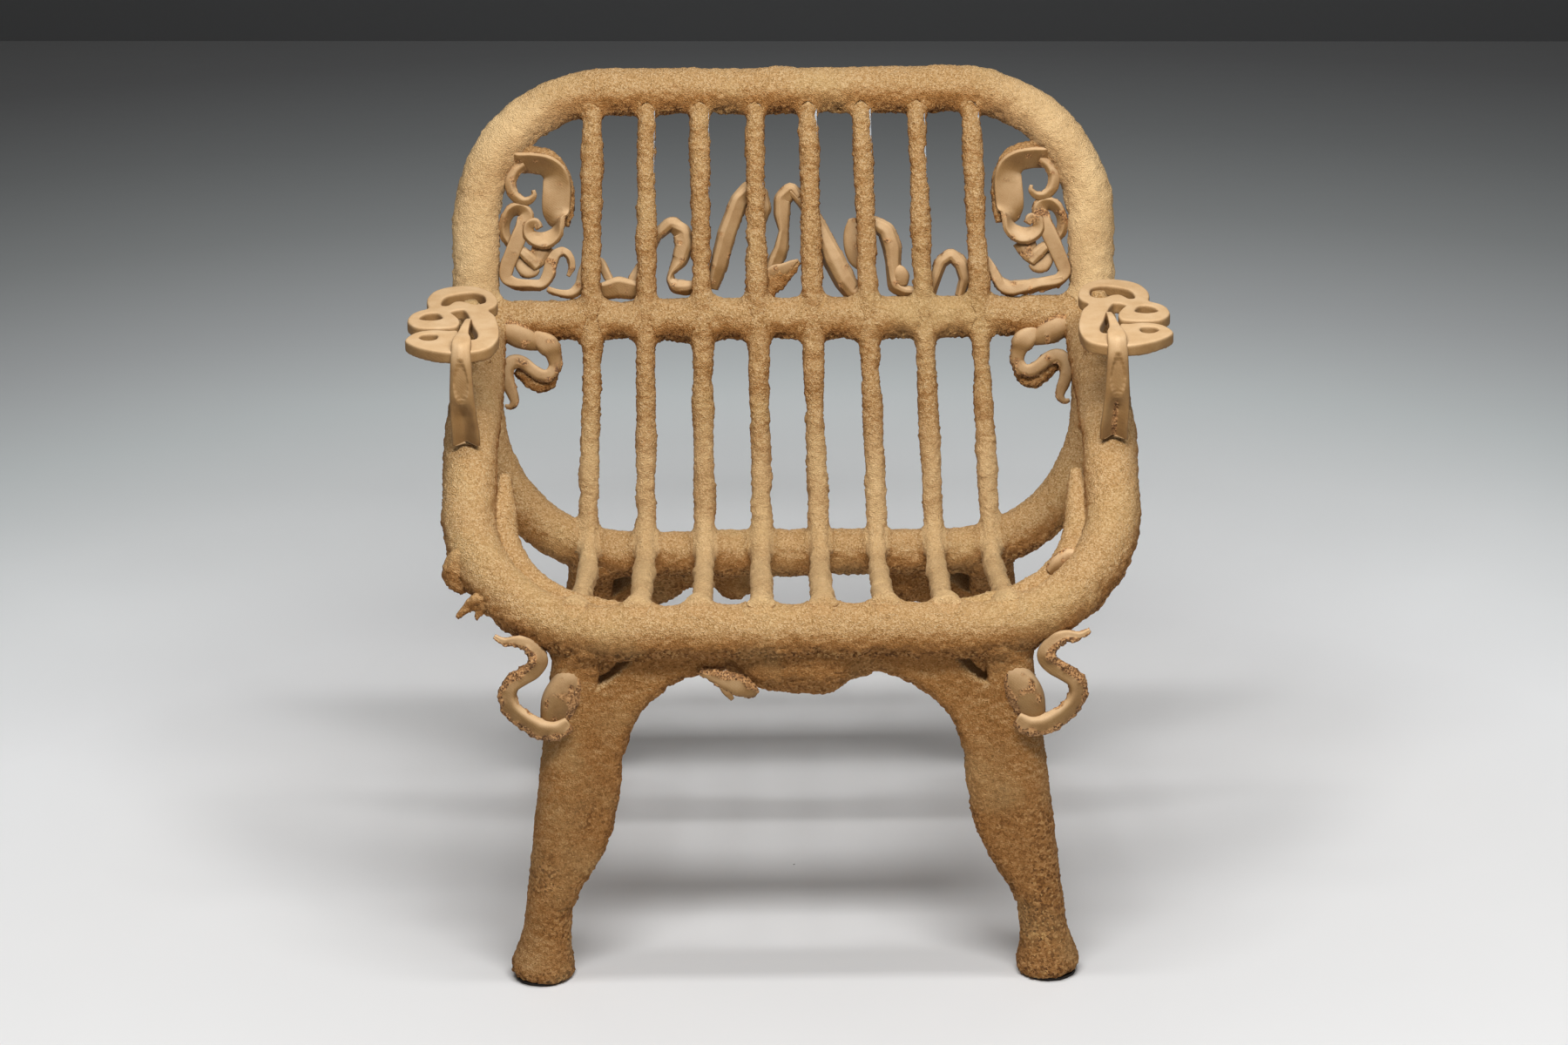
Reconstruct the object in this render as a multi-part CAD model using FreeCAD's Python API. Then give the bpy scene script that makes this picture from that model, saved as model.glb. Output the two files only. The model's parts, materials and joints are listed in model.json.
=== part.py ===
import FreeCAD, Part
import math
import os

# A rigid lounge armchair. A welded steel bar frame is buried in thick, crumbly wood paste,
# and printed ribbon scrollwork is bedded in the paste. X runs to the right as one faces the
# chair, Y runs to its back and Z up. The origin is on the floor under the middle of its box.
# Lengths are in millimetres. Places called "back" are measured from the front rail's centre,
# and places called "rise" are measured up the slope of the backrest from the lower back rail.

Vector = FreeCAD.Vector

# Overall frame
seat_front_height = 403
seat_rear_height = 348
seat_depth = 368
recline_deg = 20
back_rise = 526
mid_rail_rise = 267
back_half_width = 350
arm_inset = 4
arm_climb_deg = 40
arm_climb_length = 229
arm_slope_deg = 8

# Paste tubes and their bends
back_tube_radius = 26
mid_rail_radius = 23.5
arm_tube_radius = 29
back_top_bend = 152
back_low_bend = 172
arm_corner_bend = 152
arm_knee_bend = 130

# Steel bars inside the paste
bar_side = 20
rod_side = 8
bar_clearance = 0.3
seat_gap = 0.3
arc_tolerance = 1.5

# Slats
slat_count = 8
slat_radius = 11
slat_pitch_seat = 65.5
slat_pitch_top = 61
slat_bend = 70
slat_low_drop = 8
slat_top_stop = 9

# Ledges that hug the arm hoop's inner corners behind the seat
ledge_side = 16
ledge_turn_deg = 18
ledge_climb = 34
ledge_run = 20

# Legs and pads
leg_radius = 25
foot_radius = 33
foot_waist_radius = 28
foot_waist_height = 34
foot_flare_height = 62
foot_edge_height = 14
pad_radius = 29
pad_height = 3
leg_top_half_width = 226
front_foot_half_width = 276
rear_foot_half_width = 270
front_foot_back = 4
front_leg_top_back = 8
rear_foot_lead = 178
rear_leg_top_lead = 4
leg_bar_foot_cover = 70

# Brackets between the legs, as drops below the rail measured along the legs
apron_thickness = 34
apron_tip_drop = 287
apron_tip_half_width = 243
apron_bulge_drop = 213
apron_bulge_half_width = 199
apron_waist_drop = 145
apron_waist_half_width = 188
apron_haunch_drop = 81
apron_haunch_half_width = 156
apron_crown_drop = 46
apron_crown_half_width = 108
apron_notch_width = 30
apron_notch_height = 26
apron_notch_half_width = 172
keystone_half_width = 56
keystone_shift = 14
keystone_drop = 74
keystone_thickness = 46
lobe_radius = 22
lobe_left = 64
lobe_right = 128
lobe_drop = 47
lobe_thickness = 40

# Ribbon scrollwork shared values
ribbon_band = 13
ribbon_thickness = 10
ribbon_setback = 5
button_radius = 10
button_thickness = 16

# Scrolls beside the back hoop: inner corner, lift above the mid rail, width and height of each box
c_scroll_inner = 243
c_scroll_lift = 94
c_scroll_width = 76
c_scroll_height = 104
hook_inner = 284
hook_lift = 131
hook_width = 36
hook_height = 56
hook_band = 6
s_ribbon_inner = 222
s_ribbon_lift = 21
s_ribbon_width = 112
s_ribbon_height = 112
leaf_inner = 266
leaf_lift = 45
leaf_width = 64
leaf_height = 44
tail_inner = 262
tail_drop = 95
tail_width = 64
tail_height = 84

# Garland that stands on the mid rail behind the slats
garland_lift = 19
loop_start = -146
loop_width = 72
loop_height = 108
strip_start = -84
strip_width = 68
strip_height = 146
peak_start = -12
peak_width = 102
peak_height = 142
wave_start = 70
wave_width = 82
wave_height = 102
arch_start = 166
arch_width = 58
arch_height = 64
garland_leaf_start = -26
garland_leaf_width = 50
garland_leaf_lift = 47
garland_leaf_height = 26
garland_leaf_thickness = 20

# Arm ornaments
arm_plate_lift = 114.8
arm_plate_thickness = 13
arm_ring_radius = 38
arm_ring_hole = 21
arm_ring_back = 330
arm_ring_outset = 6
side_ring_radius = 30
side_ring_hole = 12
side_ring_back = 274
side_ring_outset = 34
arm_crescent_inset = 34
arm_crescent_width = 104
arm_crescent_back = 108
arm_crescent_depth = 182
arm_crescent_band = 24
strap_width = 32
strap_fold = 9
strap_thickness = 9
strap_top_back = 112
strap_foot_back = 146
post_radius = 12
post_inset = 5
post_back = 326

# Leg hooks, corner leaves and the leaf under the front rail
leg_hook_inner = 246
leg_hook_drop = 115
leg_hook_width = 76
leg_hook_tall = 118
leg_hook_back = 2
leg_bulb_radius = 23
leg_bulb_half_width = 247
leg_bulb_drop = 73
corner_leaf_length = 30
corner_leaf_height = 12
corner_leaf_band = 13
outer_leaf_deg = 64
lower_leaf_deg = 50
inner_leaf_deg = 54
apron_leaf_start = -96
apron_leaf_width = 56
apron_leaf_height = 24
apron_leaf_drop = 37
apron_leaf_front = 18

# Outlines as shares of each ribbon's box: across, up, and band as a share of its band
c_scroll_shares = [
    (0, 0.90, 0.9), (0.28, 0.98, 1.0), (0.64, 0.90, 1.1), (0.87, 0.62, 1.2),
    (0.88, 0.36, 1.2), (0.74, 0.14, 1.1), (0.5, 0.09, 1.0),
]
hook_shares = [
    (0.38, 0.98, 1.3), (0.12, 0.62, 1.1), (0.26, 0.22, 1.0), (0.62, 0.10, 0.9), (0.9, 0.36, 0.5),
]
s_ribbon_shares = [
    (0.28, 0.92, 1.1), (0.14, 0.70, 1.2), (0.08, 0.42, 1.1), (0.2, 0.19, 1.0),
    (0.44, 0.17, 1.0), (0.6, 0.34, 1.0), (0.68, 0.56, 1.0), (0.78, 0.40, 1.0),
    (0.82, 0.14, 0.9), (0.96, 0.26, 0.7),
]
leaf_shares = [
    (0.95, 0.90, 0.6), (0.76, 0.44, 1.1), (0.58, 0.20, 1.2), (0.34, 0.52, 1.1), (0, 0.80, 0.8),
]
tail_shares = [
    (0.94, 0.94, 1.3), (0.95, 0.66, 1.3), (0.78, 0.42, 1.2), (0.5, 0.54, 1.1),
    (0.24, 0.64, 1.0), (0.07, 0.46, 0.9), (0.14, 0.20, 0.7), (0.16, 0.02, 0.4),
]
loop_shares = [
    (0.86, 0.02, 1.0), (0.50, 0.10, 1.1), (0.22, 0.32, 1.1), (0.52, 0.54, 1.1),
    (0.66, 0.76, 1.0), (0.36, 0.93, 1.0), (0.12, 0.76, 0.9),
]
strip_shares = [
    (0.06, 0.0, 1.0), (0.16, 0.36, 1.0), (0.38, 0.80, 1.1), (0.62, 0.96, 1.1), (0.92, 0.74, 0.9),
]
peak_shares = [
    (0.10, 0.0, 1.0), (0.10, 0.42, 1.0), (0.19, 0.95, 0.9), (0.42, 0.78, 1.0),
    (0.64, 0.34, 1.0), (0.94, 0.02, 1.1),
]
wave_shares = [
    (0.20, 0.0, 1.0), (0.07, 0.46, 1.1), (0.30, 0.92, 1.0), (0.64, 0.90, 1.1),
    (0.78, 0.46, 1.1), (0.96, 0.02, 1.1),
]
arch_shares = [
    (0.04, 0.0, 0.8), (0.22, 0.56, 0.9), (0.48, 0.90, 0.9), (0.74, 0.56, 0.9), (0.96, 0.0, 0.8),
]
garland_leaf_shares = [(0.0, 0.55, 0.5), (0.30, 0.70, 1.5), (0.62, 0.34, 1.3), (1.0, 0.86, 0.5)]
arm_crescent_shares = [
    (0.84, 1.04, 0.9), (0.94, 0.62, 1.0), (0.80, 0.26, 1.1), (0.50, 0.09, 1.1),
    (0.18, 0.22, 1.0), (0.08, 0.46, 0.8), (0.24, 0.60, 0.7),
]
leg_hook_shares = [
    (0.02, 0.99, 0.4), (0.42, 0.97, 0.8), (0.66, 0.84, 1.0), (0.46, 0.64, 1.1),
    (0.30, 0.40, 1.2), (0.60, 0.16, 1.3), (0.94, 0.12, 1.3),
]
corner_leaf_shares = [(0.0, 0.10, 0.8), (0.36, 0.36, 1.1), (0.68, 0.30, 1.0), (1.0, 0.44, 0.6)]
apron_leaf_shares = [(0.0, 0.86, 0.7), (0.30, 0.50, 1.4), (0.62, 0.34, 1.4), (1.0, 0.70, 0.7)]

# Values worked out from the driving sizes
recline = math.radians(recline_deg)
climb = math.radians(arm_climb_deg)
arm_slope = math.radians(arm_slope_deg)
slat_offset = bar_side / 2 + rod_side / 2
arm_half_width = back_half_width - arm_inset
rear_foot_back = seat_depth + rear_foot_lead
rear_leg_top_back = seat_depth + rear_leg_top_lead
front_reach = max(arm_tube_radius, foot_radius - front_foot_back)
top_rail_back = seat_depth + back_rise * math.sin(recline) + back_tube_radius
rear_reach = max(rear_foot_back + foot_radius, top_rail_back)
middle_back = (rear_reach - front_reach) / 2
knee_back = arm_climb_length * math.cos(climb)
knee_height = seat_front_height + arm_climb_length * math.sin(climb)
arm_plate_height = knee_height + arm_plate_lift
arm_ring_half_width = arm_half_width + arm_ring_outset
side_ring_half_width = arm_half_width + side_ring_outset
arm_crescent_inner = arm_half_width - arm_crescent_inset
post_half_width = arm_half_width - post_inset
garland_rise = mid_rail_rise + garland_lift

os.makedirs("parts", exist_ok=True)


def place(x, back, height):
    """Return a point from its distance behind the front rail and its height."""
    return Vector(x, back - middle_back, height)


def on_back(x, rise, forward=0):
    """Return a point on the backrest's slope, moved forward towards the sitter."""
    back = seat_depth + rise * math.sin(recline) - forward * math.cos(recline)
    height = seat_rear_height + rise * math.cos(recline) + forward * math.sin(recline)
    return place(x, back, height)


def arm_height_at(back):
    """Return the height of the arm hoop's centre line behind its knee."""
    return knee_height + (back - knee_back) * math.tan(arm_slope)


def rounded_wire(points, bends, closed=False):
    """Join points by straight runs and tangent arcs, with one bend radius for each turn."""
    count = len(points)
    turns = range(count) if closed else range(1, count - 1)
    arcs = {}
    for bend, turn in zip(bends, turns):
        corner = points[turn]
        before = (points[turn - 1] - corner).normalize()
        after = (points[(turn + 1) % count] - corner).normalize()
        half = before.getAngle(after) / 2
        centre = corner + (before + after).normalize() * (bend / math.sin(half))
        start = corner + before * (bend / math.tan(half))
        end = corner + after * (bend / math.tan(half))
        middle = centre + (corner - centre).normalize() * bend
        arcs[turn] = (start, middle, end)
    edges = []
    order = list(turns)
    last = arcs[order[-1]][2] if closed else points[0]
    for turn in order:
        start, middle, end = arcs[turn]
        edges.append(Part.LineSegment(last, start).toShape())
        edges.append(Part.Arc(start, middle, end).toShape())
        last = end
    if not closed:
        edges.append(Part.LineSegment(last, points[-1]).toShape())
    return Part.Wire(edges)


def start_of(wire):
    """Return the first point of a wire and its direction there."""
    first = wire.OrderedEdges[0]
    point = wire.OrderedVertexes[0].Point
    reverse = (first.valueAt(first.FirstParameter) - point).Length > seat_gap
    parameter = first.LastParameter if reverse else first.FirstParameter
    direction = first.tangentAt(parameter)
    return point, -direction if reverse else direction


def round_tube(wire, radius):
    """Sweep a round section along a wire."""
    point, direction = start_of(wire)
    section = Part.Wire([Part.Circle(point, direction, radius).toShape()])
    return wire.makePipeShell([section], True, False)


def square_bar(wire, side, across):
    """Sweep a square section along a wire, with two sides square to the given direction."""
    point, direction = start_of(wire)
    one = across.normalize() * (side / 2)
    two = direction.cross(one).normalize() * (side / 2)
    corners = [point + one + two, point - one + two, point - one - two, point + one - two]
    section = Part.makePolygon(corners + [corners[0]])
    return wire.makePipeShell([section], True, False)


def smooth_line(points):
    """Return a smooth line through points, as a chain of tangent arcs."""
    curve = Part.BSplineCurve()
    curve.interpolate(points)
    return [arc.toShape() for arc in curve.toBiArcs(arc_tolerance)]


def band_face(points, bands):
    """Return the flat face of a ribbon with a smooth outline round its centre points."""
    normal = (points[1] - points[0]).cross(points[2] - points[1]).normalize()
    left = []
    right = []
    for index, point in enumerate(points):
        before = points[max(index - 1, 0)]
        after = points[min(index + 1, len(points) - 1)]
        side = normal.cross(after - before).normalize() * (bands[index] / 2)
        left.append(point + side)
        right.append(point - side)
    edges = smooth_line(left) + smooth_line(right)
    start_tip = points[0] + (points[0] - points[1]).normalize() * (bands[0] / 2)
    end_tip = points[-1] + (points[-1] - points[-2]).normalize() * (bands[-1] / 2)
    edges.append(Part.Arc(left[0], start_tip, right[0]).toShape())
    edges.append(Part.Arc(left[-1], end_tip, right[-1]).toShape())
    return Part.Face(Part.Wire(Part.__sortEdges__(edges)))


def thicken(face, normal, thickness):
    """Extrude a face by half the thickness to each side of its plane."""
    step = normal.normalize() * (thickness / 2)
    moved = face.copy()
    moved.translate(-step)
    return moved.extrude(step * 2)


def ribbon(corner, across, up, width, height, shares, band, thickness):
    """Build a ribbon inside a box, from points given as shares of the box."""
    points = [corner + across * (width * a) + up * (height * b) for a, b, c in shares]
    bands = [band * c for a, b, c in shares]
    return thicken(band_face(points, bands), across.cross(up), thickness)


def mirrored(shape):
    """Return the shape mirrored from the left side to the right."""
    return shape.mirror(Vector(), Vector(1, 0, 0))


def largest(shape):
    """Return the largest solid of a shape that a cut has left in pieces."""
    return max(shape.Solids, key=lambda solid: solid.Volume)


def save(name, shape):
    """Write one sub-part and print what it is."""
    shape.exportStep("parts/" + name + ".step")
    print(name, len(shape.Solids), "solids", round(shape.Volume), "mm3", shape.isValid())


back_slope = Vector(0, math.sin(recline), math.cos(recline))
back_front = Vector(0, -math.cos(recline), math.sin(recline))
climb_line = Vector(0, math.cos(climb), math.sin(climb))
corner_normal = Vector(0, -math.sin(climb), math.cos(climb))
right_way = Vector(1, 0, 0)
back_way = Vector(0, 1, 0)
up_way = Vector(0, 0, 1)

# Centre lines
back_wire = rounded_wire(
    [on_back(-back_half_width, 0), on_back(-back_half_width, back_rise),
     on_back(back_half_width, back_rise), on_back(back_half_width, 0)],
    [back_low_bend, back_top_bend, back_top_bend, back_low_bend], closed=True)
mid_wire = Part.Wire([Part.LineSegment(
    on_back(-back_half_width, mid_rail_rise), on_back(back_half_width, mid_rail_rise)).toShape()])


def arm_wire_points():
    """Return the arm hoop's corner points from the left end, over the front, to the right."""
    lift = knee_height - seat_rear_height + (seat_depth - knee_back) * math.tan(arm_slope)
    joint_rise = lift / (math.cos(recline) - math.sin(recline) * math.tan(arm_slope))
    joint_back = seat_depth + joint_rise * math.sin(recline)
    left = [place(-arm_half_width, joint_back, arm_height_at(joint_back)),
            place(-arm_half_width, knee_back, knee_height),
            place(-arm_half_width, 0, seat_front_height)]
    right = [Vector(-point.x, point.y, point.z) for point in reversed(left)]
    return left + right


arm_bends = [arm_knee_bend, arm_corner_bend, arm_corner_bend, arm_knee_bend]
arm_wire = rounded_wire(arm_wire_points(), arm_bends)


def slat_wire(number):
    """Return the centre line of one slat, from the front rail to the top rail."""
    step = number - (slat_count - 1) / 2
    seat_x = step * slat_pitch_seat
    top_x = step * slat_pitch_top
    front = place(seat_x, 0, seat_front_height + slat_offset)
    low = on_back(seat_x, -slat_low_drop, slat_offset)
    top = on_back(top_x, back_rise - slat_top_stop, slat_offset)
    return rounded_wire([front, low, top], [slat_bend])


slat_wires = [slat_wire(number) for number in range(slat_count)]

# Whole tubes, before anything is cut from them
back_tube = round_tube(back_wire, back_tube_radius)
back_tube_grown = round_tube(back_wire, back_tube_radius + seat_gap)
mid_tube = round_tube(mid_wire, mid_rail_radius)
mid_tube_grown = round_tube(mid_wire, mid_rail_radius + seat_gap)
arm_tube = round_tube(arm_wire, arm_tube_radius)
arm_tube_grown = round_tube(arm_wire, arm_tube_radius + seat_gap)
slat_tubes = [round_tube(wire, slat_radius) for wire in slat_wires]

# Steel bars, and the room that each has in the paste
back_bar = square_bar(back_wire, bar_side, back_front)
back_bar_room = square_bar(back_wire, bar_side + 2 * bar_clearance, back_front)
mid_bar = square_bar(mid_wire, bar_side, back_front)
mid_bar_room = square_bar(mid_wire, bar_side + 2 * bar_clearance, back_front)
arm_bar = square_bar(arm_wire, bar_side, right_way)
arm_bar_room = square_bar(arm_wire, bar_side + 2 * bar_clearance, right_way)
rods = [square_bar(wire, rod_side, right_way) for wire in slat_wires]
slat_rooms = [square_bar(wire, 2 * (slat_radius + seat_gap), right_way) for wire in slat_wires]
rod_rooms = [square_bar(wire, rod_side + 2 * bar_clearance, right_way) for wire in slat_wires]


def leg_axis(side, foot_half_width, foot_back, top_back, top_height):
    """Return the foot centre on the floor and the top centre of a leg."""
    foot = place(side * foot_half_width, foot_back, 0)
    top = place(side * leg_top_half_width, top_back, top_height)
    return foot, top


def leg_solid(foot, top):
    """Build a round leg whose foot flares to a level ring above the pad."""
    way = (top - foot).normalize()
    flare_top = foot + way * foot_flare_height
    rings = []
    for height in (pad_height, foot_edge_height):
        centre = foot + way * (height / way.z)
        rings.append(Part.Wire([Part.Circle(centre, up_way, foot_radius).toShape()]))
    waist = foot + way * foot_waist_height
    tilt = (up_way + way).normalize()
    rings.append(Part.Wire([Part.Circle(waist, tilt, foot_waist_radius).toShape()]))
    rings.append(Part.Wire([Part.Circle(flare_top, way, leg_radius).toShape()]))
    flare = Part.makeLoft(rings, True, True)
    shaft = Part.makeCylinder(leg_radius, (top - flare_top).Length, flare_top, way)
    return flare.fuse(shaft)


def leg_bar(foot, top, side):
    """Return the square steel bar inside a leg, stopped short of the foot."""
    way = (top - foot).normalize()
    wire = Part.Wire([Part.LineSegment(foot + way * leg_bar_foot_cover, top).toShape()])
    return square_bar(wire, side, way.cross(back_way))


front_leg_sizes = (front_foot_half_width, front_foot_back, front_leg_top_back, seat_front_height)
rear_leg_sizes = (rear_foot_half_width, rear_foot_back, rear_leg_top_back, seat_rear_height)
legs = {
    "left_front": leg_axis(-1, *front_leg_sizes),
    "right_front": leg_axis(1, *front_leg_sizes),
    "left_rear": leg_axis(-1, *rear_leg_sizes),
    "right_rear": leg_axis(1, *rear_leg_sizes),
}
leg_solids = {name: leg_solid(foot, top) for name, (foot, top) in legs.items()}
leg_bars = {name: leg_bar(foot, top, bar_side) for name, (foot, top) in legs.items()}
room_side = bar_side + 2 * bar_clearance
leg_rooms = {name: leg_bar(foot, top, room_side) for name, (foot, top) in legs.items()}


def leg_rail(name):
    """Return the tube, with its seat gap, and the bar that a leg stands under."""
    if name.endswith("front"):
        return arm_tube_grown, arm_bar
    return back_tube_grown, back_bar


# Steel frame
save("back_hoop_core", back_bar)
arm_core = largest(arm_bar.cut(back_bar_room))
save("arm_hoop_core", arm_core)
mid_core = largest(mid_bar.cut(back_bar_room))
save("mid_rail_core", mid_core)
rod_solids = [largest(rod.cut([back_bar, mid_bar, arm_bar])) for rod in rods]
save("slat_rods", Part.makeCompound(rod_solids))
for name, bar in leg_bars.items():
    rail_tube, rail_bar = leg_rail(name)
    save(name + "_leg_core", largest(bar.cut(rail_bar)))

# Paste rails
back_hoop = back_tube.cut([back_bar_room, mid_bar_room, arm_bar_room] + slat_rooms)
back_hoop = largest(back_hoop.cut([leg_rooms["left_rear"], leg_rooms["right_rear"]]))
save("back_hoop", back_hoop)
mid_rail = largest(mid_tube.cut([mid_bar_room, back_tube_grown] + slat_rooms))
save("mid_rail", mid_rail)
arm_hoop = arm_tube.cut([arm_bar_room, back_tube_grown] + slat_rooms)
arm_hoop = largest(arm_hoop.cut([leg_rooms["left_front"], leg_rooms["right_front"]]))
save("arm_hoop", arm_hoop)
rail_rooms = [back_bar_room, mid_bar_room, arm_bar_room]
for number, tube in enumerate(slat_tubes):
    slat = largest(tube.cut([rod_rooms[number]] + rail_rooms))
    save("slat_" + str(number + 1), slat)

# Ledges in the inner corners of the arm hoop, cut to seat on its paste
ledge_turn = math.radians(ledge_turn_deg)
ledge_reach = arm_tube_radius + ledge_side / 2
ledge_inset = ledge_reach * math.cos(ledge_turn)
ledge_bend = arm_corner_bend - ledge_inset
ledge_corner = place(ledge_inset - arm_half_width, 0, seat_front_height)
ledge_corner += climb_line * ledge_inset - corner_normal * (ledge_reach * math.sin(ledge_turn))
ledge_start = ledge_corner + climb_line * (ledge_bend + ledge_climb)
ledge_end = ledge_corner + right_way * (ledge_bend + ledge_run)
ledge_wire = rounded_wire([ledge_start, ledge_corner, ledge_end], [ledge_bend])
ledge = square_bar(ledge_wire, ledge_side, corner_normal)
right_ledge_grown = mirrored(square_bar(ledge_wire, ledge_side + 2 * seat_gap, corner_normal))
left_ledge = largest(ledge.cut([slat_rooms[0], arm_tube_grown]))
save("left_seat_ledge", left_ledge)
save("right_seat_ledge", mirrored(left_ledge))

# Legs and pads
for name, solid in leg_solids.items():
    rail_tube, rail_bar = leg_rail(name)
    leg = solid.cut([leg_rooms[name], rail_tube])
    save(name + "_leg", min(leg.Solids, key=lambda piece: piece.CenterOfMass.z))
    foot, top = legs[name]
    save(name + "_pad", Part.makeCylinder(pad_radius, pad_height, foot, up_way))


def bracket_frame(foot_back, top_back, top_height):
    """Return a bracket plane's top middle, the way down along the legs and the way through it."""
    top = place(0, top_back, top_height)
    down = (place(0, foot_back, 0) - top).normalize()
    return top, down, right_way.cross(down)


def arch_between_legs(frame):
    """Build the whole arch of a pair of brackets, before the legs and the rail are cut from it."""
    top, down, through = frame
    outline = [(apron_tip_half_width, apron_tip_drop), (apron_bulge_half_width, apron_bulge_drop),
               (apron_waist_half_width, apron_waist_drop), (apron_haunch_half_width, apron_haunch_drop),
               (apron_crown_half_width, apron_crown_drop)]
    edges = []
    crowns = []
    for side in (-1, 1):
        inner = [top + right_way * (side * half_width) + down * drop for half_width, drop in outline]
        outer_tip = inner[0] + right_way * (side * leg_radius)
        shoulder = top + right_way * (side * leg_top_half_width)
        edges += smooth_line(inner)
        edges.append(Part.LineSegment(inner[0], outer_tip).toShape())
        edges.append(Part.LineSegment(outer_tip, shoulder).toShape())
        edges.append(Part.LineSegment(shoulder, top).toShape())
        crowns.append(inner[-1])
    edges.append(Part.LineSegment(crowns[0], crowns[1]).toShape())
    face = Part.Face(Part.Wire(Part.__sortEdges__(edges)))
    return thicken(face, through, apron_thickness)


def grown_leg(name):
    """Return a leg's shaft with the seat gap round it."""
    foot, top = legs[name]
    return Part.makeCylinder(leg_radius + seat_gap, (top - foot).Length, foot, (top - foot).normalize())


def notch(frame, side, under):
    """Return the three-sided gap between a leg, the rail and the bracket."""
    top, down, through = frame
    inner = top + right_way * (side * apron_notch_half_width) + down * under
    outer = inner + right_way * (side * apron_notch_width)
    low = outer + down * apron_notch_height
    face = Part.Face(Part.makePolygon([inner, outer, low, inner]))
    return thicken(face, through, apron_thickness * 2)


def pair_of_brackets(frame, rail_tube, under, leg_names, middle):
    """Cut an arch to the legs and the rail, take out its middle and return its two sides."""
    cuts = [rail_tube, middle] + [grown_leg(name) for name in leg_names]
    cuts += [notch(frame, side, under) for side in (-1, 1)]
    pieces = sorted(arch_between_legs(frame).cut(cuts).Solids, key=lambda piece: piece.Volume)
    return sorted(pieces[-2:], key=lambda piece: piece.CenterOfMass.x)


# Front brackets with the keystone between them
front_frame = bracket_frame(front_foot_back, front_leg_top_back, seat_front_height)
front_top, front_down, front_through = front_frame
keystone_left = front_top + right_way * (keystone_shift - keystone_half_width)
keystone_right = front_top + right_way * (keystone_shift + keystone_half_width)
keystone_low = front_top + right_way * keystone_shift + front_down * keystone_drop
keystone_arc = Part.Arc(keystone_left, keystone_low, keystone_right).toShape()
keystone_line = Part.LineSegment(keystone_right, keystone_left).toShape()
keystone_face = Part.Face(Part.Wire([keystone_arc, keystone_line]))
keystone = thicken(keystone_face, front_through, keystone_thickness)
keystone_room = thicken(keystone_face, front_through, keystone_thickness + apron_thickness)
brackets = pair_of_brackets(
    front_frame, arm_tube_grown, arm_tube_radius, ["left_front", "right_front"], keystone_room)
save("left_front_bracket", brackets[0])
save("right_front_bracket", brackets[1])
save("apron_keystone", largest(keystone.cut([arm_tube_grown])))

# Rear brackets, which stop short of each other and end in round lobes
rear_frame = bracket_frame(rear_foot_back, rear_leg_top_back, seat_rear_height)
rear_top, rear_down, rear_through = rear_frame
rear_gap_left = rear_top - right_way * lobe_left
rear_gap_right = rear_top + right_way * lobe_right
rear_gap_drop = rear_down * (lobe_drop + lobe_radius)
rear_gap_corners = [rear_gap_left, rear_gap_right,
                    rear_gap_right + rear_gap_drop, rear_gap_left + rear_gap_drop]
rear_gap_face = Part.Face(Part.makePolygon(rear_gap_corners + [rear_gap_left]))
rear_gap = thicken(rear_gap_face, rear_through, apron_thickness * 2)
rear_brackets = pair_of_brackets(
    rear_frame, back_tube_grown, back_tube_radius, ["left_rear", "right_rear"], rear_gap)
lobe_places = (("left", rear_brackets[0], -lobe_left), ("right", rear_brackets[1], lobe_right))
for name, bracket, x in lobe_places:
    start = rear_top + right_way * x + rear_down * lobe_drop - rear_through * (lobe_thickness / 2)
    lobe = Part.makeCylinder(lobe_radius, lobe_thickness, start, rear_through)
    whole = bracket.fuse(lobe).cut([back_tube_grown] + slat_rooms)
    save(name + "_rear_bracket", largest(whole))

# Scrolls beside the back hoop, drawn on the left and mirrored
slope_cuts = [back_tube_grown, mid_tube_grown] + slat_rooms


def slope_box(start, rise):
    """Return the lower left corner of an ornament's box, behind the slats' plane."""
    return on_back(start, rise, -ribbon_setback)


def slope_ribbon(start, rise, width, height, shares, band=ribbon_band, thickness=ribbon_thickness):
    """Build a ribbon in the plane of the backrest from its box and its shares."""
    corner = slope_box(start, rise)
    return ribbon(corner, right_way, back_slope, width, height, shares, band, thickness)


def slope_button(start, rise, width, height, share):
    """Return the round end of a scroll, centred on one share of its box."""
    centre = slope_box(start + width * share[0], rise + height * share[1])
    low = centre - back_front * (button_thickness / 2)
    return Part.makeCylinder(button_radius, button_thickness, low, back_front)


def save_pair(name, shape, cuts):
    """Write a piece for the left side and its mirror image for the right."""
    piece = largest(shape.cut(cuts))
    save("left_" + name, piece)
    save("right_" + name, mirrored(piece))
    return piece


c_start = -c_scroll_inner - c_scroll_width
c_box = (c_start, mid_rail_rise + c_scroll_lift, c_scroll_width, c_scroll_height)
c_scroll = slope_ribbon(*c_box, c_scroll_shares).fuse(slope_button(*c_box, c_scroll_shares[-1]))
save_pair("c_scroll", c_scroll, slope_cuts)
hook_start = -hook_inner - hook_width
hook_rise = mid_rail_rise + hook_lift
hook = slope_ribbon(hook_start, hook_rise, hook_width, hook_height, hook_shares, hook_band)
save_pair("hook", hook, slope_cuts + [c_scroll])
s_start = -s_ribbon_inner - s_ribbon_width
s_rise = mid_rail_rise + s_ribbon_lift
s_ribbon = slope_ribbon(s_start, s_rise, s_ribbon_width, s_ribbon_height, s_ribbon_shares)
save_pair("s_ribbon", s_ribbon, slope_cuts)
leaf_start = -leaf_inner - leaf_width
leaf = slope_ribbon(leaf_start, mid_rail_rise + leaf_lift, leaf_width, leaf_height, leaf_shares)
save_pair("leaf", leaf, slope_cuts + [s_ribbon])
tail_start = -tail_inner - tail_width
tail = slope_ribbon(tail_start, mid_rail_rise - tail_drop, tail_width, tail_height, tail_shares)
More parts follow.
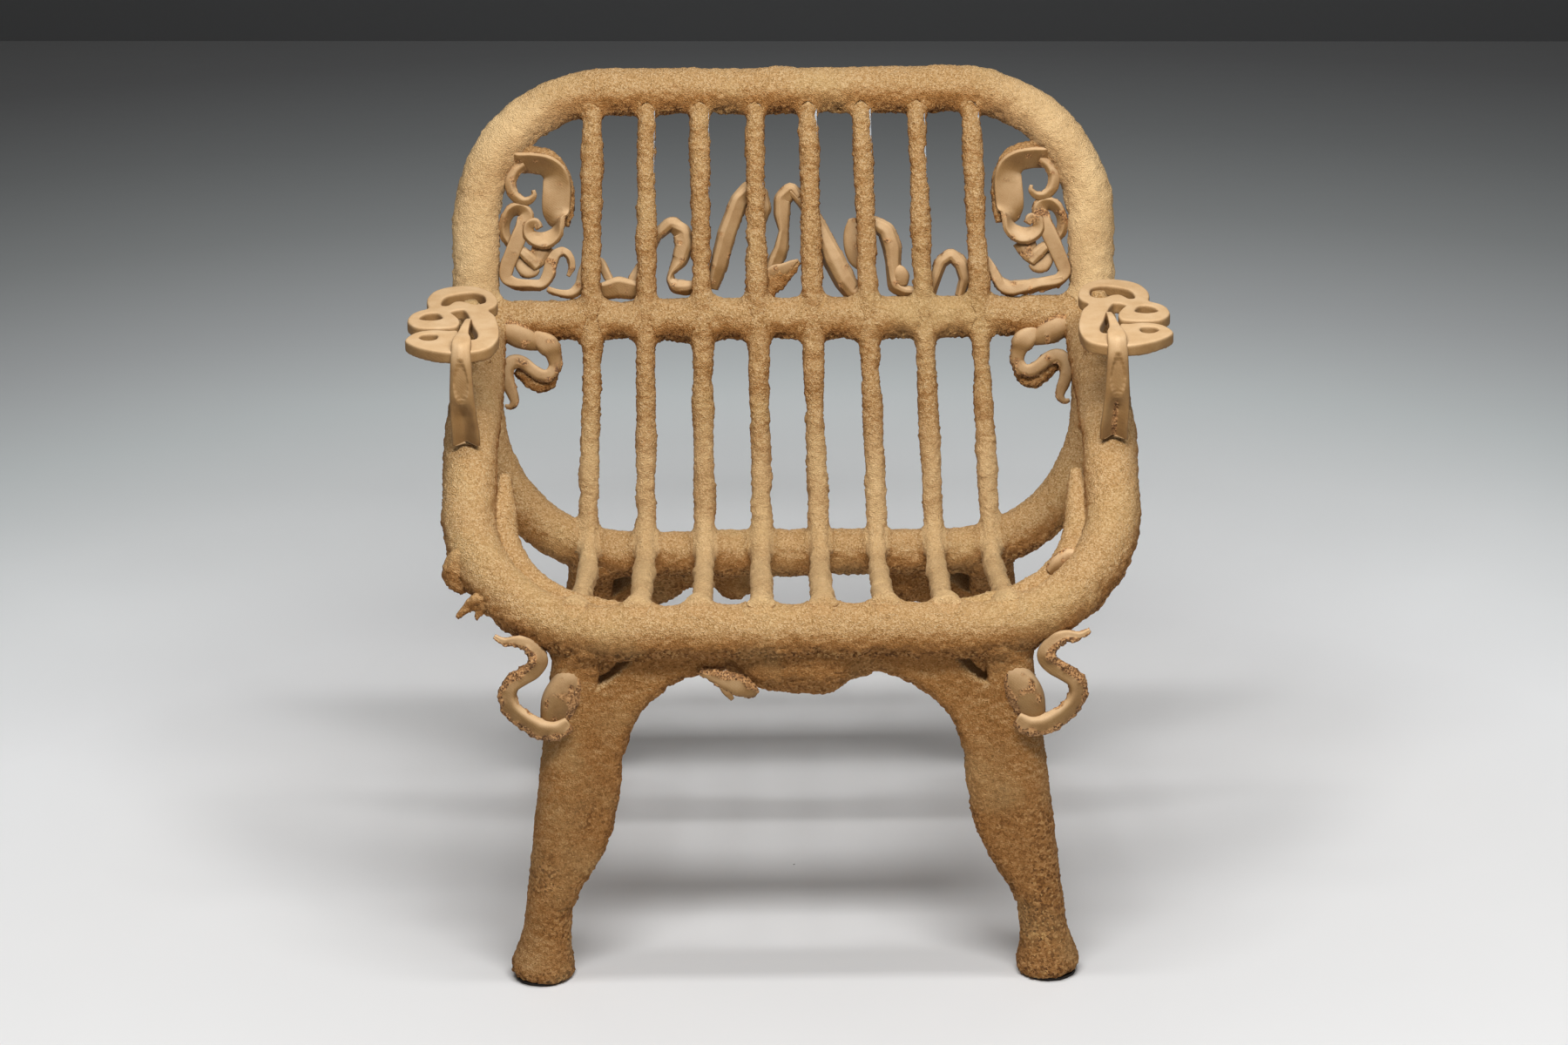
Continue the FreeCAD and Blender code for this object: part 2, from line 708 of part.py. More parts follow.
save_pair("tail", tail, slope_cuts)

# Garland behind the slats
loop = slope_ribbon(loop_start, garland_rise, loop_width, loop_height, loop_shares)
save("garland_loop", largest(loop.cut(slope_cuts)))
strip = slope_ribbon(strip_start, garland_rise, strip_width, strip_height, strip_shares)
save("garland_strip", largest(strip.cut(slope_cuts + [loop])))
garland_leaf = slope_ribbon(
    garland_leaf_start, mid_rail_rise + garland_leaf_lift, garland_leaf_width, garland_leaf_height,
    garland_leaf_shares, ribbon_band, garland_leaf_thickness)
peak = slope_ribbon(peak_start, garland_rise, peak_width, peak_height, peak_shares)
save("garland_peak", largest(peak.fuse(garland_leaf).cut(slope_cuts)))
wave = slope_ribbon(wave_start, garland_rise, wave_width, wave_height, wave_shares)
save("garland_wave", largest(wave.cut(slope_cuts + [peak])))
arch = slope_ribbon(arch_start, garland_rise, arch_width, arch_height, arch_shares)
save("garland_arch", largest(arch.cut(slope_cuts)))

# Arm ornaments: a scroll plate on a folded strap in front and a paste post behind
def plate_disc(half_width, back, radius):
    """Return a round part of the left arm's scroll plate."""
    start = place(-half_width, back, arm_plate_height - arm_plate_thickness / 2)
    return Part.makeCylinder(radius, arm_plate_thickness, start, up_way)


crescent_corner = place(-arm_crescent_inner - arm_crescent_width, arm_crescent_back, arm_plate_height)
crescent = ribbon(crescent_corner, right_way, back_way, arm_crescent_width, arm_crescent_depth,
                  arm_crescent_shares, arm_crescent_band, arm_plate_thickness)
arm_scroll = plate_disc(arm_ring_half_width, arm_ring_back, arm_ring_radius)
arm_scroll = arm_scroll.fuse(plate_disc(side_ring_half_width, side_ring_back, side_ring_radius))
arm_scroll = arm_scroll.fuse(crescent)
arm_scroll = arm_scroll.cut([plate_disc(arm_ring_half_width, arm_ring_back, arm_ring_hole),
                             plate_disc(side_ring_half_width, side_ring_back, side_ring_hole)])
save_pair("arm_scroll", arm_scroll, [back_tube_grown])

strap_top = arm_plate_height - arm_plate_thickness / 2
strap_low = arm_height_at(strap_foot_back) - arm_tube_radius


def strap_outline(back, height):
    """Return the strap's folded section as a closed level line."""
    half = strap_width / 2
    points = []
    for x, depth in ((-half, strap_fold), (0, 0), (half, strap_fold)):
        points.append(place(x - arm_half_width, back + depth, height))
    for x, depth in ((half, strap_fold), (0, 0), (-half, strap_fold)):
        points.append(place(x - arm_half_width, back + depth + strap_thickness, height))
    return Part.makePolygon(points + [points[0]])


strap_lines = [strap_outline(strap_top_back, strap_top), strap_outline(strap_foot_back, strap_low)]
strap = Part.makeLoft(strap_lines, True, True)
strap_piece = max(strap.cut([arm_tube_grown]).Solids, key=lambda piece: piece.CenterOfMass.z)
save("left_arm_strap", strap_piece)
save("right_arm_strap", mirrored(strap_piece))
post_low = arm_height_at(post_back)
post_top = arm_plate_height + arm_plate_thickness
post_start = place(-post_half_width, post_back, post_low)
post = Part.makeCylinder(post_radius, post_top - post_low, post_start, up_way)
save_pair("arm_post", post, [arm_tube_grown, back_tube_grown, arm_scroll])

# Hooks on the outside of the front legs
hook_low = seat_front_height - leg_hook_drop
hook_corner = place(-leg_hook_inner - leg_hook_width, leg_hook_back, hook_low)
leg_hook = ribbon(hook_corner, right_way, up_way, leg_hook_width, leg_hook_tall,
                  leg_hook_shares, ribbon_band, ribbon_thickness)
bulb_centre = place(-leg_bulb_half_width, leg_hook_back, seat_front_height - leg_bulb_drop)
bulb = Part.makeSphere(leg_bulb_radius, bulb_centre)
save_pair("leg_hook", leg_hook.fuse(bulb), [grown_leg("left_front"), arm_tube_grown])


def corner_leaf(side, turn_deg, reach):
    """Return a small leaf on a corner of the arm hoop, at an angle round the bend."""
    turn = math.radians(turn_deg)
    middle = place(side * (arm_half_width - arm_corner_bend), 0, seat_front_height)
    middle += climb_line * arm_corner_bend
    out = right_way * (side * math.sin(turn)) - climb_line * math.cos(turn)
    along = right_way * (side * math.cos(turn)) + climb_line * math.sin(turn)
    corner = middle + out * (arm_corner_bend + reach) - along * (corner_leaf_length / 2)
    leaf = ribbon(corner, along, out, corner_leaf_length, corner_leaf_height,
                  corner_leaf_shares, corner_leaf_band, corner_leaf_band)
    return largest(leaf.cut([arm_tube_grown, right_ledge_grown]))


lumps = [corner_leaf(-1, outer_leaf_deg, arm_tube_radius),
         corner_leaf(-1, lower_leaf_deg, arm_tube_radius),
         corner_leaf(1, inner_leaf_deg, -arm_tube_radius - corner_leaf_height / 2)]
save("corner_leaves", Part.makeCompound(lumps))
apron_leaf_low = seat_front_height - apron_leaf_drop - apron_leaf_height
apron_leaf = ribbon(place(apron_leaf_start, -apron_leaf_front, apron_leaf_low),
                    right_way, up_way, apron_leaf_width, apron_leaf_height,
                    apron_leaf_shares, ribbon_band, ribbon_thickness)
save("apron_leaf", largest(apron_leaf.cut([arm_tube_grown])))
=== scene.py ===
"""The looks of a rigid lounge armchair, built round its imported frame.

Steel bars are buried in a hand-packed paste of sawdust and torn flakes. Printed ribbons of wood
compound, in the manner of old carved scrollwork, are bedded in the paste. Lengths are in
millimetres until a mesh is made; the row frame is in metres.
"""

import json
import logging
import math
from collections.abc import Callable
from dataclasses import dataclass, field
from enum import Enum

import bpy
import numpy as np
from mathutils import Euler, Matrix, Vector

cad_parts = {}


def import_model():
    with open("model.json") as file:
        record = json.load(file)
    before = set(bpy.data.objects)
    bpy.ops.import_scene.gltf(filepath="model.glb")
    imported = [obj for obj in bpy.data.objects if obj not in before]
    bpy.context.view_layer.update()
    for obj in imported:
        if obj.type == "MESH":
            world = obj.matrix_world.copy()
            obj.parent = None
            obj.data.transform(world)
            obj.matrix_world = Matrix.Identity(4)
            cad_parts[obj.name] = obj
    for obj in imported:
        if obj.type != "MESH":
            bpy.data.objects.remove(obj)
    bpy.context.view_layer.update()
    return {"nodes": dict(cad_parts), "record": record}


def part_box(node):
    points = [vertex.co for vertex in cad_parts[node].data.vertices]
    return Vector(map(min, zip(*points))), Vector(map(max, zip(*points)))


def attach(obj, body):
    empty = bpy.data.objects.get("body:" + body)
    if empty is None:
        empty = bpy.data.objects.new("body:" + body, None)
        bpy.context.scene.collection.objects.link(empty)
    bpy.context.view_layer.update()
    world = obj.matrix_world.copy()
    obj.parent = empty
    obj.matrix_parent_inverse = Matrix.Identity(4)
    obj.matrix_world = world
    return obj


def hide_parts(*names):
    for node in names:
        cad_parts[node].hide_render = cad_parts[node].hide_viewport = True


Array = np.ndarray
Gap = Callable[[Array], Array]
Feed = bpy.types.NodeSocket | float | tuple
METRE = 0.001
log = logging.getLogger("chair")

RIGHT = np.array([1.0, 0.0, 0.0])
BACK = np.array([0.0, 1.0, 0.0])
UP = np.array([0.0, 0.0, 1.0])
MIRROR = np.array([-1.0, 1.0, 1.0])
SIDES = (("left", -1), ("right", 1))


class Slot(Enum):
    """The record's material slots."""

    PASTE = "wood_paste"
    PRINT = "printed_wood"
    STEEL = "steel_bar"
    PAD = "glide_pad"


def unit(vectors: Array) -> Array:
    """Scale vectors to length one."""
    return vectors / np.maximum(np.linalg.norm(vectors, axis=-1, keepdims=True), 1e-12)


def smooth_share(low: float, high: float, values: Array) -> Array:
    """Rise from 0 at low to 1 at high with no corner: t squared times 3 less 2t."""
    share = np.clip((values - low) / (high - low), 0, 1)
    return share * share * (3 - 2 * share)


def random_share(cells: Array, seed: int) -> Array:
    """Give each whole-numbered cell its own random share from 0 to 1, by mixing its three numbers."""
    cell = cells.astype(np.int64)
    mixed = cell[..., 0] * 73856093 ^ cell[..., 1] * 19349663 ^ cell[..., 2] * 83492791 ^ seed * 2654435761
    mixed = (mixed ^ (mixed >> 13)) * 1274126177 & 0xFFFFFFFF
    mixed = mixed ^ (mixed >> 16)
    return (mixed & 0xFFFFFF) / 0xFFFFFF


def soft_noise(points: Array, size: float, seed: int) -> Array:
    """Smooth noise from -1 to 1: random values at a cubic grid's corners, blended between them.

    Args:
        points: Places in millimetres, three numbers each.
        size: The grid's spacing in millimetres.
        seed: Which noise to give.

    Returns:
        One value for each place.
    """
    scaled = points / size
    cell = np.floor(scaled)
    part = scaled - cell
    part = part * part * (3 - 2 * part)
    total = np.zeros(points.shape[:-1])
    for corner in np.ndindex(2, 2, 2):
        weight = np.prod(np.where(np.array(corner) == 1, part, 1 - part), axis=-1)
        total += weight * random_share(cell + corner, seed)
    return total * 2 - 1


def flake_relief(points: Array, size: float, seed: int) -> Array:
    """Relief of packed flakes: each place takes the tilted plane of its nearest flake.

    Args:
        points: Places in millimetres.
        size: The flakes' spacing in millimetres.
        seed: Which flakes to give.

    Returns:
        A height from about -1 to 1 that steps from flake to flake.
    """
    scaled = points / size
    base = np.floor(scaled - 0.5)
    nearest = np.full(points.shape[:-1], 9.0)
    height = np.zeros(points.shape[:-1])
    for corner in np.ndindex(2, 2, 2):
        cell = base + corner
        shift = np.stack([random_share(cell, seed + k) for k in range(3)], axis=-1) * 0.6 - 0.3
        offset = scaled - (cell + 0.5 + shift)
        distance = np.sum(offset * offset, axis=-1)
        closer = distance < nearest
        tilt = shift[..., [1, 2, 0]] * 4
        plane = random_share(cell, seed + 5) * 1.4 - 0.7 + np.sum(tilt * offset, axis=-1)
        nearest = np.where(closer, distance, nearest)
        height = np.where(closer, plane, height)
    return height


def rounded_line(corners: list, bends: list, step: float, closed: bool = False) -> Array:
    """Join corners by straight runs and tangent arcs, and space points evenly along the result.

    Args:
        corners: The turning points.
        bends: One bend radius for each turn.
        step: The spacing wanted between points.
        closed: Whether the last corner joins the first.

    Returns:
        Points along the line; a closed line doesn't repeat its first point.
    """
    corners = [np.asarray(corner, float) for corner in corners]
    count = len(corners)
    turns = range(count) if closed else range(1, count - 1)
    pieces = [] if closed else [corners[0][None]]
    for bend, turn in zip(bends, turns):
        corner = corners[turn]
        before = unit(corners[turn - 1] - corner)
        after = unit(corners[(turn + 1) % count] - corner)
        half = math.acos(float(np.clip(before @ after, -1, 1))) / 2
        centre = corner + unit(before + after) * bend / math.sin(half)
        start = corner + before * bend / math.tan(half) - centre
        end = corner + after * bend / math.tan(half) - centre
        sweep = math.pi - 2 * half
        share = np.linspace(0, 1, max(int(bend * sweep / step), 4) + 1)[:, None]
        arc = (np.sin((1 - share) * sweep) * start + np.sin(share * sweep) * end) / math.sin(sweep)
        pieces.append(centre + arc)
    if not closed:
        pieces.append(corners[-1][None])
    line = np.concatenate(pieces)
    if closed:
        line = np.concatenate([line, line[:1]])
    return even_line(line, step, closed)


def even_line(line: Array, step: float, closed: bool = False) -> Array:
    """Space points evenly along a line, and along every further column with it.

    Args:
        line: Rows of points, whose first three columns are the place.
        step: The spacing wanted.
        closed: Whether the last row repeats the first, and is left out of the result.

    Returns:
        The evenly spaced rows.
    """
    lengths = np.linalg.norm(np.diff(line[:, :3], axis=0), axis=1)
    along = np.concatenate([[0], np.cumsum(lengths)])
    count = max(int(round(along[-1] / step)), 4)
    wanted = np.linspace(0, along[-1], count + 1)
    if closed:
        wanted = wanted[:-1]
    return np.stack([np.interp(wanted, along, column) for column in line.T], axis=1)


def flowing_line(knots: Array, step: float, closed: bool = False) -> Array:
    """Pass a smooth curve through knots, each span a cubic whose end slopes join its neighbours.

    Args:
        knots: Rows of a place and any further columns, such as width and twist.
        step: The spacing wanted between points.
        closed: Whether the curve returns to its first knot.

    Returns:
        Evenly spaced rows along the curve.
    """
    knots = np.asarray(knots, float)
    if closed:
        padded = np.concatenate([knots[-1:], knots, knots[:2]])
    else:
        padded = np.concatenate([2 * knots[:1] - knots[1:2], knots, 2 * knots[-1:] - knots[-2:-1]])
    share = np.linspace(0, 1, 24, endpoint=False)[:, None]
    spans = []
    for index in range(len(padded) - 3):
        a, b, c, d = padded[index:index + 4]
        cubic = 2 * b + (c - a) * share + (2 * a - 5 * b + 4 * c - d) * share ** 2
        cubic += (3 * b - a - 3 * c + d) * share ** 3
        spans.append(cubic / 2)
    spans.append(padded[-2][None])
    return even_line(np.concatenate(spans), step, closed)


def folded_line(knots: Array, step: float, soften: int = 2) -> Array:
    """Join knots by straight runs, as folded strip does, with each fold eased over a few points.

    Args:
        knots: Rows of a place and any further columns.
        step: The spacing wanted between points.
        soften: How many times neighbours are averaged.

    Returns:
        Evenly spaced rows.
    """
    line = even_line(np.asarray(knots, float), step)
    for _ in range(soften):
        line[1:-1] = (line[:-2] + 2 * line[1:-1] + line[2:]) / 4
    return line


@dataclass
class Sweep:
    """A section carried along a centre line.

    Attributes:
        name: The piece's name.
        line: Centre places, one for each ring.
        reference: A direction that the section's lift axis leans to, the same for the whole line
            or one for each ring.
        half_side: Half the section's size across, one value or one for each ring.
        half_lift: Half its size along the lift axis.
        power: 2 gives an ellipse; more gives a box with rounder or sharper corners.
        closed: Whether the line is a loop.
        around: How many points go round the section.
        turn: Angle that the section is turned by about the line, in radians.
        section: Corners of a section with flat sides, in halves of its size, instead of a round one.
    """

    name: str
    line: Array
    reference: Array
    half_side: Array | float
    half_lift: Array | float
    power: float = 2.0
    closed: bool = False
    around: int = 40
    turn: Array | float = 0.0
    section: tuple = ()

    def axes(self) -> tuple[Array, Array]:
        """Give each ring's side and lift directions, square to the line."""
        if self.closed:
            tangent = unit(np.roll(self.line, -1, 0) - np.roll(self.line, 1, 0))
        else:
            tangent = unit(np.gradient(self.line, axis=0))
        side = unit(np.cross(tangent, np.broadcast_to(self.reference, self.line.shape)))
        lift = np.cross(side, tangent)
        turn = np.broadcast_to(self.turn, len(self.line))[:, None]
        return (np.cos(turn) * side + np.sin(turn) * lift,
                np.cos(turn) * lift - np.sin(turn) * side)

    def surface(self) -> Array:
        """Place the section's points: side times cosine and lift times sine, each to 2 / power."""
        side, lift = self.axes()
        angle = np.linspace(0, 2 * math.pi, self.around, endpoint=False)
        across = np.sign(np.cos(angle)) * np.abs(np.cos(angle)) ** (2 / self.power)
        above = np.sign(np.sin(angle)) * np.abs(np.sin(angle)) ** (2 / self.power)
        if self.section:
            corners = np.array(self.section + self.section[:1], float)
            along = np.concatenate([[0], np.cumsum(np.linalg.norm(np.diff(corners, axis=0), axis=1))])
            wanted = np.linspace(0, along[-1], self.around, endpoint=False)
            across, above = (np.interp(wanted, along, column) for column in corners.T)
        half_side = np.broadcast_to(self.half_side, len(self.line))[:, None, None]
        half_lift = np.broadcast_to(self.half_lift, len(self.line))[:, None, None]
        return (self.line[:, None] + half_side * side[:, None] * across[None, :, None]
                + half_lift * lift[:, None] * above[None, :, None])

    def gap(self, points: Array) -> tuple[Array, Array]:
        """Measure how far points lie outside the round tube, and which way is out.

        Args:
            points: Places in millimetres.

        Returns:
            The distances, and the directions from the nearest places on the line.
        """
        line = np.concatenate([self.line, self.line[:1]]) if self.closed else self.line
        radius = (np.asarray(self.half_side) + np.asarray(self.half_lift)) / 2
        radius = np.broadcast_to(radius, len(self.line))
        radius = np.concatenate([radius, radius[:1]]) if self.closed else radius
        stride = max(len(line) // 300, 1)
        line = np.concatenate([line[:-1:stride], line[-1:]])
        radius = np.concatenate([radius[:-1:stride], radius[-1:]])
        squares = np.sum(line * line, axis=1) - 2 * points @ line.T
        nearest = squares.argmin(axis=1)
        best = np.full(len(points), np.inf)
        way = np.zeros_like(points)
        for shift in (-1, 0):
            low = np.clip(nearest + shift, 0, len(line) - 2)
            start = line[low]
            run = line[low + 1] - start
            share = np.sum((points - start) * run, axis=1) / np.sum(run * run, axis=1)
            share = np.clip(share, 0, 1)
            offset = points - start - run * share[:, None]
            away = np.linalg.norm(offset, axis=1) - radius[low] * (1 - share) - radius[low + 1] * share
            way = np.where((away < best)[:, None], offset, way)
            best = np.minimum(best, away)
        return best, unit(way)

    def reach(self) -> tuple[Array, Array]:
        """Give the box round the sweep."""
        size = float(np.max(self.half_side)) + float(np.max(self.half_lift))
        return self.line.min(0) - size, self.line.max(0) + size


def surface_normals(surface: Array, closed: bool) -> Array:
    """Give a grid's outward directions: the cross product of its steps round and along."""
    round_step = np.roll(surface, -1, 1) - np.roll(surface, 1, 1)
    if closed:
        along = np.roll(surface, -1, 0) - np.roll(surface, 1, 0)
    else:
        along = np.gradient(surface, axis=0)
    return unit(np.cross(along, round_step))


def joined_gap(first: Array, second: Array, fillet: Array | float) -> Array:
    """Join two gaps with a fillet: where they differ by less than it, the result is below both."""
    near = np.maximum(fillet - np.abs(first - second), 0)
    return np.minimum(first, second) - near * near / (4 * fillet)


def joined_rise(gap: Array, facing: Array, fillet: float) -> Array:
    """Give how far a surface rises along its normals to lie on its fillet with a neighbour.

    At height h the surface is h from itself and gap + facing * h from its neighbour. The height
    where the two joined gaps come to zero is found by halving. Just past the seam, where both gaps
    are equal, the surface sinks into its neighbour. Surfaces that face the same way grow less.

    Args:
        gap: The neighbour's distance at each place.
        facing: The cosine between the surface's normal and the neighbour's.
        fillet: The fillet's size where the two are square to each other.

    Returns:
        The heights.
    """
    size = fillet * np.clip(1 - facing, 0.06, 1) ** 0.8
    low = np.zeros_like(gap)
    high = size.copy()
    for _ in range(12):
        middle = (low + high) / 2
        short = joined_gap(middle, gap + facing * middle, size) < 0
        low = np.where(short, middle, low)
        high = np.where(short, high, middle)
    seam = gap / np.maximum(1 - facing, 0.06) + 2.4
    return np.clip(np.minimum(low, seam), -1.0, size * 0.6)


def leaned(points: Array, lean: float = -0.0125, above: float = 330, behind: tuple = (310, 460)) -> Array:
    """Lean the backrest a little to the left as it rises, as the handmade frame does.

    Args:
        points: Places in millimetres.
        lean: The shift to the right for each millimetre of rise.
        above: The height where the lean starts.
        behind: The distances behind the chair's front where it starts and where it's whole.

    Returns:
        The shifted places.
    """
    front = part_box("arm_hoop")[0].y / METRE
    share = smooth_share(*behind, points[..., 1] - front)
    shift = lean * np.maximum(points[..., 2] - above, 0) * share
    return points + shift[..., None] * RIGHT


def link_object(name: str, data: bpy.types.ID) -> bpy.types.Object:
    """Make an object at the origin round its data, and link it to the scene."""
    made = bpy.data.objects.new(name, data)
    bpy.context.scene.collection.objects.link(made)
    return made


def link_mesh(name: str, points: Array, faces: list) -> bpy.types.Object:
    """Make a smooth mesh object from points in millimetres, which take the chair's lean."""
    mesh = bpy.data.meshes.new(name)
    mesh.from_pydata((leaned(points) * METRE).tolist(), [], faces)
    mesh.polygons.foreach_set("use_smooth", np.ones(len(mesh.polygons), bool))
    mesh.update()
    return link_object(name, mesh)


def make_mesh(name: str, surface: Array, closed: bool) -> bpy.types.Object:
    """Turn a grid of places into a closed mesh object at the origin, in metres.

    Args:
        name: The object's name.
        surface: Places, by ring and then round the ring.
        closed: Whether the last ring joins the first; otherwise each end gets a fan to its middle.

    Returns:
        The new object, linked to the scene.
    """
    rings, around = surface.shape[:2]
    points = surface.reshape(-1, 3)
    index = np.arange(rings * around).reshape(rings, around)
    after = np.roll(index, -1, 0) if closed else index[1:]
    before = index if closed else index[:-1]
    quads = np.stack([before, after, np.roll(after, -1, 1), np.roll(before, -1, 1)], axis=-1)
    faces = quads.reshape(-1, 4).tolist()
    if not closed:
        points = np.concatenate([points, surface[0].mean(0)[None], surface[-1].mean(0)[None]])
        first, last = index[0], index[-1]
        start = np.stack([first, np.roll(first, -1), np.full(around, rings * around)], axis=-1)
        end = np.stack([np.roll(last, -1), last, np.full(around, rings * around + 1)], axis=-1)
        faces += start.tolist() + end.tolist()
    return link_mesh(name, points, faces)


def store_values(made: bpy.types.Object, name: str, values: Array) -> None:
    """Keep one number for each point of a mesh, for its material to read."""
    flat = np.zeros(len(made.data.vertices), np.float32)
    flat[:values.size] = values.ravel()
    made.data.attributes.new(name, "FLOAT", "POINT").data.foreach_set("value", flat)


@dataclass(frozen=True)
class Crumb:
    """The relief of hand-packed sawdust paste. Sizes and heights are in millimetres.

    Attributes:
        lump_size: Spacing of the hand's slow lumps.
        lump_height: Their height.
        clod_size: Spacing of the clods.
        clod_height: Their height, which grows where the paste is coarse.
        flake_size: Spacing of torn flakes.
        flake_height: Their height where the paste is coarse.
        grit_size: Spacing of the finest grit that the mesh can hold.
        grit_height: Its height.
        pit_size: Spacing of the dark pits where the paste is coarse.
        pit_depth: Their depth there.
        smooth_from: How far up a face looks where the paste is wholly smooth.
        coarse_from: How far up it looks where the paste is wholly coarse; a minus is down.
        forward_share: How much looking forward counts as looking up.
    """

    lump_size: float = 46.0
    lump_height: float = 1.3
    clod_size: float = 11.0
    clod_height: float = 1.5
    flake_size: float = 6.0
    flake_height: float = 1.25
    grit_size: float = 3.4
    grit_height: float = 0.5
    pit_size: float = 13.0
    pit_depth: float = 2.2
    smooth_from: float = 0.35
    coarse_from: float = -0.45
    forward_share: float = 0.25

    def coarseness(self, points: Array, normals: Array, stain_and_floor_shade: float = 0.0) -> Array:
        """Give 0 where a palm has smoothed the top and 1 where flakes hang underneath.

        Args:
            points: Places in millimetres.
            normals: Outward directions.
            stain_and_floor_shade: How much coarser the places near the floor count as, which
            darkens their colour: a painted shade.

        Returns:
            One value for each place; two noises make the border between the two uneven.
        """
        drift = soft_noise(points, 70, 11) * 0.22 + soft_noise(points, 22, 12) * 0.2
        # Places near the floor count as coarser, which darkens their colour: a painted shade.
        low = stain_and_floor_shade * smooth_share(380, 40, points[..., 2])
        upward = normals[..., 2] - self.forward_share * normals[..., 1] + drift - low
        return smooth_share(self.smooth_from, self.coarse_from, upward)

    def height(self, points: Array, coarse: Array, lumps: float = 1.0) -> Array:
        """Add up the lumps, clods, flakes and grit, less the pits.

        Args:
            points: Places in millimetres.
            coarse: How coarse the paste is at each, from 0 to 1.
            lumps: How strong the slow lumps are.

        Returns:
            The heights in millimetres.
        """
        rise = lumps * self.lump_height * soft_noise(points, self.lump_size, 1)
        rise += lumps * self.lump_height * 0.5 * soft_noise(points, self.lump_size / 2.3, 2)
        rise += (0.45 * lumps + 0.7 * coarse) * self.clod_height * soft_noise(points, self.clod_size, 3)
        rise += (0.4 + 0.6 * coarse) * self.flake_height * flake_relief(points, self.flake_size, 4)
        rise += self.grit_height * flake_relief(points, self.grit_size, 21)
        pits = smooth_share(0.42, 0.8, soft_noise(points, self.pit_size, 5)) * coarse
        return rise - self.pit_depth * pits * min(lumps, 1)


@dataclass
class ChairFrame:
    """The driving sizes that the solids share, and the places worked out from them.

    Attributes:
        seat_front_height: Height of the front rail's centre line; seat_rear_height is that of the
            back hoop's low rail.
        seat_depth: Distance between the two.
        recline: How far the back leans from upright.
        back_rise: The back hoop's length up its slope; mid_rail_rise is the middle rail's place.
        back_half_width: Half the distance between its sides; arm_half_width is alike.
        climb: How steeply the arm hoop climbs from its front corners, over climb_length.
        arm_slope: How steeply the arms rise towards the back.
        back_radius: The radius of the back hoop's tube; other radii and bends are alike.
        slat_offset: How far the slats' centre lines lie above the rails'.
        slat_pitch_seat: The slats' spacing on the seat; slat_pitch_top is that at the top rail.
        slat_bend: The radius where a slat turns up the back, slat_low_drop below the low rail.
        slat_top_stop: How far short of the top rail's centre line a slat ends.
        front_y: The front rail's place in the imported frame.
    """

    seat_front_height: float = 403.0
    seat_rear_height: float = 348.0
    seat_depth: float = 368.0
    recline: float = math.radians(20)
    back_rise: float = 526.0
    mid_rail_rise: float = 267.0
    back_half_width: float = 350.0
    arm_half_width: float = 346.0
    climb: float = math.radians(40)
    climb_length: float = 229.0
    arm_slope: float = math.radians(8)
    back_radius: float = 26.0
    mid_radius: float = 23.5
    arm_radius: float = 29.0
    back_top_bend: float = 152.0
    back_low_bend: float = 172.0
    arm_corner_bend: float = 152.0
    arm_knee_bend: float = 130.0
    slat_count: int = 8
    slat_radius: float = 11.0
    slat_offset: float = 14.0
    slat_pitch_seat: float = 65.5
    slat_pitch_top: float = 61.0
    slat_bend: float = 70.0
    slat_low_drop: float = 8.0
    slat_top_stop: float = 9.0
    front_y: float = field(init=False)

    def __post_init__(self) -> None:
        """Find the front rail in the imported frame."""
        self.front_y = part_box("arm_hoop")[0].y / METRE + self.arm_radius
        self.slope = np.array([0, math.sin(self.recline), math.cos(self.recline)])
        self.facing = np.array([0, -math.cos(self.recline), math.sin(self.recline)])
        self.knee_back = self.climb_length * math.cos(self.climb)
        self.knee_height = self.seat_front_height + self.climb_length * math.sin(self.climb)

    def place(self, x: float, back: float, height: float) -> Array:
        """Give a place from its distance behind the front rail and its height."""
        return np.array([x, self.front_y + back, height], float)

    def on_back(self, x: float, rise: float, forward: float = 0.0) -> Array:
        """Give a place on the backrest's slope, moved forward towards the sitter."""
        low = self.place(x, self.seat_depth, self.seat_rear_height)
        return low + self.slope * rise + self.facing * forward

    def arm_height_at(self, back: float) -> float:
        """Give the height of the arm's centre line behind its knee."""
        return self.knee_height + (back - self.knee_back) * math.tan(self.arm_slope)

    def back_line(self, step: float) -> Array:
        """Give the back hoop's centre line."""
        half, rise = self.back_half_width, self.back_rise
        corners = [self.on_back(-half, 0), self.on_back(-half, rise),
                   self.on_back(half, rise), self.on_back(half, 0)]
        bends = [self.back_low_bend, self.back_top_bend, self.back_top_bend, self.back_low_bend]
        return rounded_line(corners, bends, step, closed=True)

    def mid_line(self, step: float) -> Array:
        """Give the middle rail's centre line."""
        ends = [self.on_back(side * self.back_half_width, self.mid_rail_rise) for side in (-1, 1)]
        return even_line(np.array(ends), step)

    def arm_line(self, step: float) -> Array:
        """Give the arm hoop's centre line from the left end, over the front, to the right."""
        lift = self.arm_height_at(self.seat_depth) - self.seat_rear_height
        slant = math.sin(self.recline) * math.tan(self.arm_slope)
        joint_rise = lift / (math.cos(self.recline) - slant)
        joint_back = self.seat_depth + joint_rise * math.sin(self.recline)
        runs = [(joint_back, self.arm_height_at(joint_back)), (self.knee_back, self.knee_height),
                (0, self.seat_front_height)]
        left = [self.place(-self.arm_half_width, back, height) for back, height in runs]
        right = [point * MIRROR for point in reversed(left)]
        bends = [self.arm_knee_bend, self.arm_corner_bend, self.arm_corner_bend, self.arm_knee_bend]
        return rounded_line(left + right, bends, step)

    def slat_line(self, number: int, step: float) -> Array:
        """Give one slat's centre line, from the front rail to the top rail."""
        place = number - (self.slat_count - 1) / 2
        seat_x = place * self.slat_pitch_seat
        top_x = place * self.slat_pitch_top
        front = self.place(seat_x, 0, self.seat_front_height + self.slat_offset)
        low = self.on_back(seat_x, -self.slat_low_drop, self.slat_offset)
        top = self.on_back(top_x, self.back_rise - self.slat_top_stop, self.slat_offset)
        return rounded_line([front, low, top], [self.slat_bend], step)


